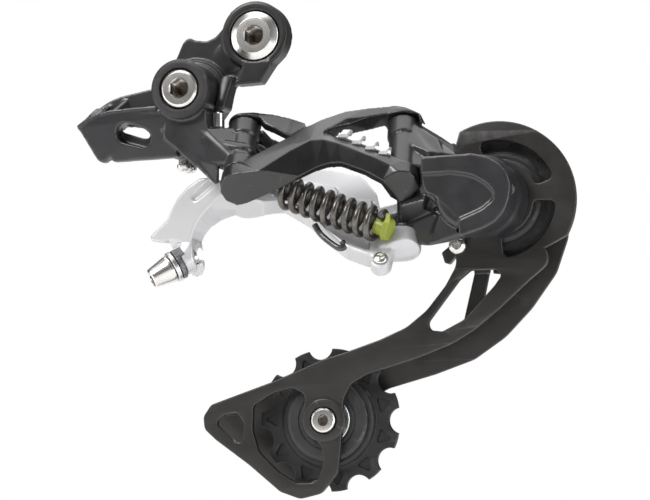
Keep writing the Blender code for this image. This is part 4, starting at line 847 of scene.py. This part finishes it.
done(rebase(ab, am), "anchor_bolt_fine", "cable_anchor_bolt", M_BOLT_C, ["cable_anchor_bolt"], 28)
pan_screw(L(E - 6.4, W + 0.6, -17.4), L(E - 6.4, W - 4.4, -17.4), 1.4, 2.2, 1.0, "link_screw_fine", "inner_link", "inner_link_screw", False)

# ---------------------------------------------------------------- return spring
ax = SPRING_B - SPRING_A
sm = axes(SPRING_A, ax)
turns, n_turn, rs, wire = 9.5, 48, 4.45, 1.08
phase0 = math.radians(250)
coil = []
total = int(turns * n_turn)
for i in range(total + 1):
    f = i / total
    a = phase0 + 2 * math.pi * i / n_turn
    coil.append(sm @ Vector((rs * math.cos(a) * MM, rs * math.sin(a) * MM, (-0.6 + f * (ax.length + 0.6)) * MM)) / MM)
tail = []
head = smooth_line([L(-3.6, 1.2, 18.0), L(-1.2, 1.2, 19.6), L(1.0, 1.3, 20.0), L(4.3, 2.6, 19.2), L(7.4, 4.4, 18.0), L(9.2, 4.6, 14.5), L(9.6, 4.4, 10.0), coil[0]], 8)[:-1]
spring = tube(head + coil + tail, wire, 5)
spring.name = "return_spring_coil"
spring.data.materials.clear()
spring.data.materials.append(M_SPRING)
spring.data.shade_smooth()
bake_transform(spring)
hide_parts("return_spring")
leg = tube(smooth_line([L(22.6, 12.6, -4.4), L(24.6, 14.0, -7.2), L(27.8, 14.4, -10.4), L(30.4, 14.5, -12.4), L(32.0, 14.5, -12.0), L(31.4, 14.5, -10.0)], 8), 0.95, 5)
done(leg, "return_spring_leg", "inner_link", M_CLIP, (), 40)
un = ax.normalized()
seat = union(cyl(SPRING_B + un * 1.3, SPRING_B + un * 3.2, 3.9, 3.3, 48), cyl(SPRING_B - un * 2.0, SPRING_B + un * 1.4, 2.6, 2.8, 48),
             hull([SPRING_B + un * h + EY * a + EZ * b for h in (1.4, 3.2) for a, b in ((-4.2, 2.8), (-2.0, 4.2), (2.2, 4.0), (3.6, 1.0), (-4.0, -1.0))]))
done(cast(seat, 0.2, 4), "spring_seat", "inner_link", M_GREEN, ["spring_bush"], 0)


# ---------------------------------------------------------------- knuckle body
drum = yturned([(0, 17.2), (10.4, 17.2, .8), (11.5, 16.0, .8), (12.0, 6.6, .6), (12.9, 3.4, .5), (13.3, -.6, .4), (13.4, -5.8, .3), (0, -5.8)], P_AXLE, 128)
face_pts = [(55.8, -41.2, .6), (71.4, -40.6, 5), (76.0, -41.7, 6), (79.6, -43.8, 6), (82.1, -46.8, 6), (83.1, -50.4, 5), (82.5, -54.5, 5), (81.2, -58.0, 6), (78.6, -61.2, 5),
            (75.0, -63.2, 6), (67.4, -65.7, .6), (67.2, -60.2, 1), (64.5, -57.0, 2), (60.0, -53.2, 2), (57.0, -51.8, 1.2), (56.0, -48.2, .8)]
face = yplate(fillet(face_pts), -18.3, -10.4)
skirt = hull([(x, y, z) for (x, z), y in [(q, yy) for q in ((80.6, -47.0), (81.6, -52.0), (79.8, -57.6), (75.4, -61.6), (67.6, -64.4), (64, -45), (72, -42)) for yy in (-17.0, -6.0)]])
k_out = hull(ldisc(E, 0, 5.6, 25.4, 4.3))
k_col = hull(ldisc(E, 0, 19.0, 25.4, 4.9))
k_in = hull(ldisc(E, W, -5.0, 0.6, 4.3))
k_web = hull(ldisc(E + 0.6, 0, 6.0, 12.0, 2.4, 16) + ldisc(E + 0.6, W, -4.6, 0.2, 2.4, 16))
shoulder = chain(
    ldisc(E + 0.6, 0, 16.0, 25.2, 3.4, 16),
    [Vector(p) for p in ((56.6, -11.0, -38.8), (55.6, -4.0, -32.6), (57.6, 0.5, -32.6), (57.6, -2.0, -42.0), (56.0, -10.0, -42.0))],
    [Vector(p) for p in ((64.6, -9.0, -39.8), (63.0, -3.2, -36.4), (66.0, 2.0, -38.6), (66.0, 2.0, -44.0), (63.0, -9.0, -43.0))])
rib1 = hull(ldisc(E + 1.0, 0, 20.0, 24.6, 3.0, 16) + [Vector(p) for p in ((58.6, -7.0, -34.4), (61.0, -10.2, -39.2), (59.0, -10.6, -40.0), (60.4, -5.0, -36.4))])
mid = hull(ldisc(E + 1.2, 0.2, 6.2, 14.0, 3.0, 16) + [(x, y, z) for x in (59.0, 64.0) for y in (-11.0, 0.0) for z in (-56.0, -44.0)])
low = hull(ldisc(E + 0.6, W, -4.6, 0.4, 3.6, 16) + [(x, y, z) for x, y, z in (
    (56.6, -10.6, -67.6), (66.8, -11.6, -65.6), (66.0, 2.6, -64.6), (60.6, 2.6, -64.0), (61.6, -11.0, -57.0), (64.0, 3.0, -52.0))])
block = hull([(x, y, z) for x, y, z in ((57.0, -12.2, -67.4), (67.0, -13.6, -65.8), (67.0, -15.6, -64.6), (61.0, -13.6, -57.6), (57.6, -9.0, -60.2), (66, -6, -62))])
fill = hull([(x, y, z) for x, y, z in ((57.2, -9.0, -44.0), (57.2, 2.0, -42.0), (56.4, 3.6, -60.0), (57.4, -7.0, -62.0), (66.0, -9.0, -44.0), (66.0, 2.0, -62.0))])
fill2 = hull(lsec(*[(q, t, c) for q, t in ((E - 0.6, 5.8), (E + 7, 3.0), (E + 10, 6.0), (E + 9, 13.5), (E - 0.6, 12.2)) for c in (-3.6, 8.0)]))
pb = union(drum, face, fill, fill2, skirt, k_out, k_col, k_in, k_web, mid, low, block, rib1, *shoulder)
pocket = [(54.0, -46.6, .2), (65.1, -46.1, 8), (71.3, -47.2, 9), (76.0, -50.0, 6), (78.2, -52.9, 3), (77.4, -54.9, 4), (74.3, -57.4, 8), (67.5, -60.3, .3),
          (66.6, -61.4, .2), (54.0, -52.0, .2)]
pb = cut(pb,
         ycyl(P_AXLE, -13.0, 9, 9.0),
         yplate(fillet(pocket), -20, -17.35),
         cyl(L(E, 0, 3), L(E, 0, 28), BORE_R, seg=48),
         cyl(L(E, W, -6), L(E, W, 18), BORE_R, seg=48),
         cyl(L(E, 0, -1), L(E, 0, 5.45), EAR_R + 0.4, seg=64),
         cyl(L(E, 0, 25.5), L(E, 0, 34), EAR_R + 0.4, seg=64),
         cyl(L(E, W, -14), L(E, W, -5.1), EAR_R + 0.65, seg=64),
         cyl(L(E, W, 0.7), L(E, W, 9), 7.3, seg=64),
         cyl((84.6, -14.0, -51.4), (79.4, -12.6, -51.4), 1.5, seg=32),
         hull([(x, y, z) for x, y, z in ((61.6, -16.0, -57.4), (56.2, -15.0, -52.4), (55.0, -14.0, -56.2), (59.6, -14.0, -58.8), (61.6, -9.0, -57.0), (56.4, -8.6, -52.6),
                                         (55.0, -8.4, -56.2), (59.6, -8.4, -58.4))]))
done(cast(pb, 0.36, 4), "knuckle_casting", "knuckle", M_BODY, ["p_body"], 0)
pinh = cyl((83.2, -13.7, -51.4), (80.0, -12.8, -51.4), 1.0, seg=32)
done(pinh, "spring_end_pin", "knuckle", M_STEEL, (), 30)
seal = yturned([(11.4, -6.1), (12.9, -6.1), (13.3, -6.35), (13.3, -6.8), (11.4, -6.8)], P_AXLE, 128, True, .1)
done(rebase(seal, side_frame(px, pz)), "knuckle_seal", "knuckle", M_RUBBER, ["p_seal_ring"], 30)

# ------------------------------------------------------------------------ cage
outline = arc(gx, gz, GUARD_R, 119, -28, 90) + fillet([
    (92.0, -71.0, 8), (85.0, -76.8, 20), (75.0, -86.0, 25), (67.3, -92.4, 20), (60.0, -96.8, 20), (49.9, -100.8, 20), (33.0, -106.2, 10),
    (27.4, -109.4, 5), (25.2, -114.0, 6), (24.4, -127.7, 20), (23.4, -137.1, 6), (18.0, -143.6, 4), (11.2, -145.4, 4), (4.6, -143.2, 4),
    (-5.6, -134.9, 20), (-16.8, -127.0, 10), (-20.6, -123.6, 3), (-21.0, -119.6, 3), (-18.4, -115.8, 3), (-10.6, -113.0, 10), (2.6, -108.3, 20),
    (18.3, -101.6, 20), (26.8, -99.0, 20), (37.1, -95.4, 15), (45.6, -91.6, 12), (52.0, -86.4, 15), (58.0, -78.8, 15), (61.6, -72.2, 6),
    (61.0, -68.0, 2), (57.6, -62.0, 4), (57.2, -46.0, 8), (58.6, -37.0, 3), (60.2, -33.2, 2.6)], 8)


def arc_slot(a0, a1, r0, r1, n=40):
    """Outline of a curved slot round the guide pulley's axis."""
    rm, rr = (r0 + r1) / 2, (r1 - r0) / 2
    out = arc(gx, gz, r1, a0, a1, n)
    ex, ez = gx + rm * math.cos(math.radians(a1)), gz + rm * math.sin(math.radians(a1))
    out += arc(ex, ez, rr, a1, a1 + 180, 12)[1:-1]
    out += arc(gx, gz, r0, a1, a0, n)
    sx, sz = gx + rm * math.cos(math.radians(a0)), gz + rm * math.sin(math.radians(a0))
    out += arc(sx, sz, rr, a0 + 180, a0 + 360, 12)[1:-1]
    return out


def sector(a0, a1, r0, r1, corner=1.7):
    """Curved window round the guide pulley's axis, with rounded corners."""
    def at(r, a):
        return (gx + r * math.cos(math.radians(a)), gz + r * math.sin(math.radians(a)))
    n = max(4, int(abs(a1 - a0) / 13))
    rim = [at(r1, a0 + (a1 - a0) * i / n) for i in range(n + 1)]
    low = [at(r0, a1 + (a0 - a1) * i / n) for i in range(n + 1)]
    out = [(*q, corner if i in (0, n) else 14.0) for i, q in enumerate(rim)]
    out += [(*q, corner if i in (0, n) else 8.0) for i, q in enumerate(low)]
    return fillet(out, 6)


slot_a = sector(20, 108, 12.6, 18.6)
slot_b = sector(-84, -2, 11.4, 18.2)
win_up = fillet([(66.0, -74.2, 2), (62.4, -77.2, 3), (52.4, -90.4, 2), (53.2, -92.6, 1.5), (57.0, -93.0, 2), (63.8, -89.4, 6), (73.4, -79.0, 5),
                 (75.8, -75.6, 2), (73.8, -74.0, 1.5)], 8)
win_low = fillet([(-4.4, -116.2, 2), (2.0, -112.2, 8), (8.6, -110.4, 3), (12.8, -112.6, 2), (12.2, -117.4, 5), (12.6, -124.0, 5),
                  (18.0, -128.6, 2), (18.8, -134.4, 6), (16.6, -140.2, 3), (9.9, -140.4, 4), (4.0, -137.0, 8), (-2.6, -130.6, 4), (-4.6, -124.0, 5)], 8)
win_small = fillet([(-17.0, -121.6, 1.5), (-13.8, -118.8, 2), (-9.6, -118.2, 2), (-7.4, -121.4, 3), (-7.8, -127.8, 1.5), (-10.8, -127.6, 2), (-14.4, -124.2, 3)], 8)
outer_plate = yplate(outline, PLATE_OUT[0], PLATE_OUT[1],
                     [slot_a, slot_b, win_up, win_low, win_small, circle(px, pz, 5.15, 48), circle(tx, tz, 2.85, 32),
                      circle(62.2, -66.4, 1.75, 24)], 0.42, 4)
done(outer_plate, "cage_outer", "cage", M_CAGE, ["cage_outer_plate"], 32)
pad = yturned([(4.4, -6.1), (6.6, -6.35, .5), (7.3, -7.2, .3), (4.4, -7.2)], TENSION, 96, True, .1)
done(rebase(pad, side_frame(tx, tz)), "cage_bolt_boss", "cage", M_CAGE, (), 30)
tab_c = hull([(x, y, z) for x, z in ((56.4, -68.4), (61.2, -64.4), (62.4, -67.6), (58.8, -72.0), (57.4, -71.6)) for y in (9.2, 12.9)])
done(cast(tab_c, 0.25, 4), "cage_stop_tab", "cage", M_BODY, (), 0)

in_outline = arc(gx, gz, 15.5, 150, 60, 30) + fillet([
    (90.5, -44.0, 8), (95.4, -55.0, 8), (94.4, -64.0, 8), (90.8, -74.6, 10), (83.0, -85.6, 20), (74.5, -94.6, 20), (64.5, -101.6, 10), (52.0, -106.2, 12),
    (37.0, -110.6, 8), (30.5, -114.0, 4), (28.6, -122.0, 6), (25.0, -130.0, 8), (19.4, -136.6, 6), (13.6, -141.0, 4), (8.0, -142.2, 4), (2.6, -140.2, 6), (-7.4, -132.2, 20),
    (-19.0, -124.6, 6), (-22.4, -121.6, 3), (-22.4, -119.2, 3), (-20.2, -116.4, 3), (-13.6, -113.6, 10), (-0.6, -109.0, 20), (16.0, -102.4, 10),
    (34.0, -99.6, 10), (46.0, -95.0, 10), (53.2, -93.4, 4), (58.6, -92.6, 2), (61.0, -90.2, 2), (64.9, -73.6, 4), (62.0, -64.0, 6)], 8)
in_win = fillet([(69.9, -72.5, 1), (67.8, -82.8, 1), (69.4, -83.6, 1), (73.6, -79.4, 3), (76.6, -74.6, 1.2), (75.6, -72.3, 1)], 8)
inner_plate = yplate(in_outline, PLATE_IN[0], PLATE_IN[1], [in_win, circle(gx, gz, 2.85, 32), circle(tx, tz, 2.85, 32)], 0.35, 4)
done(inner_plate, "cage_inner", "cage", M_CAGE, ["cage_inner_plate"], 32)
ledge = hull([(x, y, z) for x, z in ((66.4, -72.4), (71.6, -72.6), (71.2, -75.0), (66.8, -75.3)) for y in (9.2, 12.9)])
done(cast(ledge, 0.2, 3), "cage_inner_ledge", "cage", M_BODY, (), 0)
pm = side_frame(45.5, -98.3)
post = turned(soften([(0, -9.8), (2.4, -9.8, .2), (2.6, -10.1), (2.6, -12.2, .3), (2.2, -12.6, .3), (2.2, -18.6, .3), (2.6, -19.0), (2.6, -19.7), (0, -19.7)], .12), pm, 64)
done(rebase(post, pm), "cage_spacer_post", "cage", M_CAGE, ["cage_post"], 30)
pan_screw((62.2, 9.0, -66.4), (62.2, 6.7, -66.4), 1.4, 2.8, 2.6, "stop_screw_fine", "cage_stop_screw", "cage_stop_screw", False)

tb = yturned([(0, -5.2), (3.3, -5.2, .15), (3.8, -5.55, .15), (3.98, -6.1, .15), (3.98, -6.8), (2.5, -6.8), (2.5, -21.6), (0, -21.6)], TENSION, 96)
tb = cut(tb, hexrod((tx, 4.6, tz), (tx, 7.4, tz), 3.0), cyl((tx, 4.9, tz), (tx, 5.8, tz), 2.05, 1.4, 48))
done(rebase(tb, side_frame(tx, tz)), "tension_bolt_fine", "cage", M_BOLT_D, ["tension_pulley_bolt"], 28)
gb = yturned([(0, -9.8), (2.5, -9.8), (2.5, -22.1), (3.95, -22.1), (3.95, -23.0, .2), (3.4, -23.55, .2), (0, -23.55)], GUIDE, 96)
gb = cut(gb, hexrod((gx, 22.0, gz), (gx, 24, gz), 3.0), cyl((gx, 23.0, gz), (gx, 23.9, gz), 1.4, 2.05, 48))
done(rebase(gb, side_frame(gx, gz)), "guide_bolt_fine", "cage", M_BOLT_D, ["guide_pulley_bolt"], 28)

# --------------------------------------------------------------------- pulleys


def tooth_outline(xz, phase, root, tip, n=PULLEY_TEETH):
    """Pulley rim: short flat-topped teeth with round valleys between."""
    out = []
    pitch = 2 * math.pi / n
    rv = 4.15                                   # radius of the valley
    cv = root + rv
    for k in range(n):
        a = phase + k * pitch
        half = 0.075 * pitch
        for f in (-1.0, -0.5, 0.0, 0.5, 1.0):
            out.append((xz[0] + tip * math.cos(a + f * half), xz[1] + tip * math.sin(a + f * half)))
        b = a + pitch / 2
        cx, cz = xz[0] + cv * math.cos(b), xz[1] + cv * math.sin(b)
        for j in range(13):
            t = b + math.pi - math.radians(74) * (1 - j / 6)
            q = (cx + rv * math.cos(t + 0), cz + rv * math.sin(t + 0))
            out.append(q)
    return out


def order_round(pts, c):
    return sorted(pts, key=lambda p: math.atan2(p[1] - c[1], p[0] - c[0]))


def pulley(name, xz, phase, body):
    """Toothed wheel with a stepped hub and blind oval pockets, then its bearing, bush and two covers."""
    y = PULLEY_Y
    m = side_frame(xz[0], xz[1])
    rim = yplate(order_round(tooth_outline(xz, phase, PULLEY_ROOT_R + 0.3, PULLEY_TIP_R + 0.3), xz), y - 1.15, y + 1.15, (), 0.28, 3)
    hub = yturned([(7.9, 3.1 - y), (14.0, 3.1 - y, .5), (14.8, 2.5 - y, .5), (15.4, 1.3 - y, .5), (18.2, 0.9 - y, .4), (18.2, -0.9 - y, .4), (15.4, -1.3 - y, .5),
                   (14.8, -2.5 - y, .5), (14.0, -3.1 - y, .5), (7.9, -3.1 - y)], xz, 128, True, .3)
    wheel = union(rim, hub)
    wheel = cut(wheel, ycyl(xz, y - 6, y + 6, 7.9, seg=96))
    pockets = []
    for k in range(PULLEY_TEETH):
        a = phase + k * 2 * math.pi / PULLEY_TEETH
        for s0, s1 in ((-2.2, -0.55), (0.55, 2.2)):
            p = []
            for da, rr in ((-0.085, 17.4), (0.085, 17.4), (0, 19.9)):
                c = (xz[0] + rr * math.cos(a + da), 0, xz[1] + rr * math.sin(a + da))
                p += disc_pts(c, (0, 1, 0), 0.75, y + s0, y + s1, 14)
            pockets.append(hull(p))
    wheel = cut(wheel, *pockets)
    done(rebase(wheel, m), name + "_wheel", body, M_RESIN, [name], 30)
    bearing = yturned([(4.7, 2.4 - y), (5.5, 2.4 - y), (5.6, 2.2 - y), (6.6, 2.2 - y), (6.7, 2.4 - y), (7.5, 2.4 - y), (7.5, -2.4 - y), (4.7, -2.4 - y)], xz, 96, True, .08)
    done(rebase(bearing, m), name + "_race", body, M_STEEL, [name + "_bearing"], 30)
    bush = yturned([(2.9, 4.6 - y), (4.3, 4.6 - y), (4.3, -4.6 - y), (2.9, -4.6 - y)], xz, 64, True, .1)
    done(rebase(bush, m), name + "_sleeve", "cage", M_STEEL, [name + "_bush"], 30)
    for side, tag in ((1, "outer"), (-1, "inner")):
        prof = [(7.6, 4.55), (8.7, 4.55, .1), (8.9, 4.2, .1), (9.2, 4.2, .1), (9.4, 4.5, .1), (12.0, 4.35, .3), (12.9, 3.9, .3), (13.2, 3.5), (7.6, 3.5)]
        disc = yturned([(r, side * h - y, *rest) for r, h, *rest in prof], xz, 128, True, .06)
        done(rebase(disc, m), "%s_%s_shield" % (name, tag), "cage", M_COVER, ["%s_%s_cover" % (name, tag)], 30)
        prof = [(4.7, 4.5), (5.2, 4.7, .1), (7.3, 4.7, .15), (7.5, 4.5), (7.5, 3.6), (4.7, 3.6)]
        eye = yturned([(r, side * h - y, *rest) for r, h, *rest in prof], xz, 96, True, .06)
        done(rebase(eye, m), "%s_%s_eyelet" % (name, tag), "cage", M_WASHER, (), 30)


pulley("guide_pulley", GUIDE, math.radians(8), "guide_pulley")
pulley("tension_pulley", TENSION, math.radians(16.0), "tension_pulley")

# -------------------------------------------------- inner pieces kept from CAD
for node, mat in (("b_axle_bushing", M_WASHER), ("outer_link_rear_pin", M_PIN), ("inner_link_rear_pin", M_PIN), ("outer_link_front_pin", M_PIN),
                  ("inner_link_front_pin", M_PIN), ("p_axle", M_STEEL), ("p_spring", M_SPRING)):
    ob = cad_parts[node]
    ob.data.materials.clear()
    ob.data.materials.append(mat)


# ---------------------------------------------------------- floor, light, camera
def floor_material():
    g = Graph("pale_floor")
    tone = g.mix(g.span(g.noise(3.0, 3.0), 0.3, 0.7, 0.0, 1.0), (0.86, 0.86, 0.86), (0.90, 0.90, 0.90))
    g.to("Base Color", tone)
    g.to("Roughness", g.span(g.noise(40.0, 3.0), 0.3, 0.7, 0.62, 0.72))
    g.bump(g.noise(900.0, 2.0), 0.05, 0.0002)
    return g.mat


bm = bmesh.new()
bmesh.ops.create_grid(bm, x_segments=8, y_segments=8, size=1.6)
floor = from_bmesh(bm, "floor")
floor.location = (0.02, 0.0, -0.27)
floor.data.materials.append(floor_material())


def area(name, at, target, size, power, rgb=(1, 1, 1), size_y=None):
    d = bpy.data.lights.new(name, "AREA")
    d.energy = power
    d.color = rgb
    d.size = size
    if size_y:
        d.shape = "RECTANGLE"
        d.size_y = size_y
    o = bpy.data.objects.new(name, d)
    o.location = at
    o.rotation_euler = (Vector(target) - Vector(at)).to_track_quat("-Z", "Y").to_euler()
    bpy.context.scene.collection.objects.link(o)
    return o


MID = (0.02, 0.0, -0.07)
area("key_softbox", (-0.40, -0.72, 0.62), MID, 0.42, 8.2, (1.0, 0.985, 0.965))
sun = bpy.data.lights.new("overhead", "SUN")
sun.energy = 2.5
sun.angle = math.radians(70)
overhead = bpy.data.objects.new("overhead", sun)
overhead.rotation_euler = (math.radians(-8), 0, 0)
bpy.context.scene.collection.objects.link(overhead)
area("right_strip", (0.85, -0.35, 0.05), MID, 0.22, 3.4, (0.97, 0.98, 1.0), 0.9)
area("left_strip", (-0.85, -0.25, -0.10), MID, 0.22, 2.4, (1.0, 0.98, 0.95), 0.9)
area("low_fill", (0.62, -0.52, -0.42), MID, 0.40, 2.8, (0.97, 0.97, 1.0))

world = bpy.data.worlds.new("studio")
bpy.context.scene.world = world
world.use_nodes = True
nt = world.node_tree
bg = nt.nodes["Background"]
bg.inputs["Color"].default_value = (1, 1, 1, 1)
bg.inputs["Strength"].default_value = 0.13
white = nt.nodes.new("ShaderNodeBackground")
white.inputs["Color"].default_value = (1, 1, 1, 1)
white.inputs["Strength"].default_value = 1.0
path = nt.nodes.new("ShaderNodeLightPath")
mixer = nt.nodes.new("ShaderNodeMixShader")
out = nt.nodes["World Output"]
nt.links.new(path.outputs["Is Camera Ray"], mixer.inputs[0])
nt.links.new(bg.outputs[0], mixer.inputs[1])
nt.links.new(white.outputs[0], mixer.inputs[2])
nt.links.new(mixer.outputs[0], out.inputs["Surface"])

PHI, EPS, DIST = math.radians(15.0), math.radians(-4.0), 0.650
back = Vector((math.sin(PHI) * math.cos(EPS), -math.cos(PHI) * math.cos(EPS), math.sin(EPS)))
right = Vector((math.cos(PHI), math.sin(PHI), 0.0))
up = back.cross(right)
cam_data = bpy.data.cameras.new("camera")
cam_data.lens = 115.2
cam_data.sensor_width = 36.0
cam_data.clip_start = 0.01
cam = bpy.data.objects.new("camera", cam_data)
m = Matrix((right, up, back)).transposed().to_4x4()
m.translation = Vector((0.0212, 0.0, -0.0675)) + back * DIST
cam.matrix_world = m
bpy.context.scene.collection.objects.link(cam)
bpy.context.scene.camera = cam
bpy.context.scene.view_settings.view_transform = "Standard"
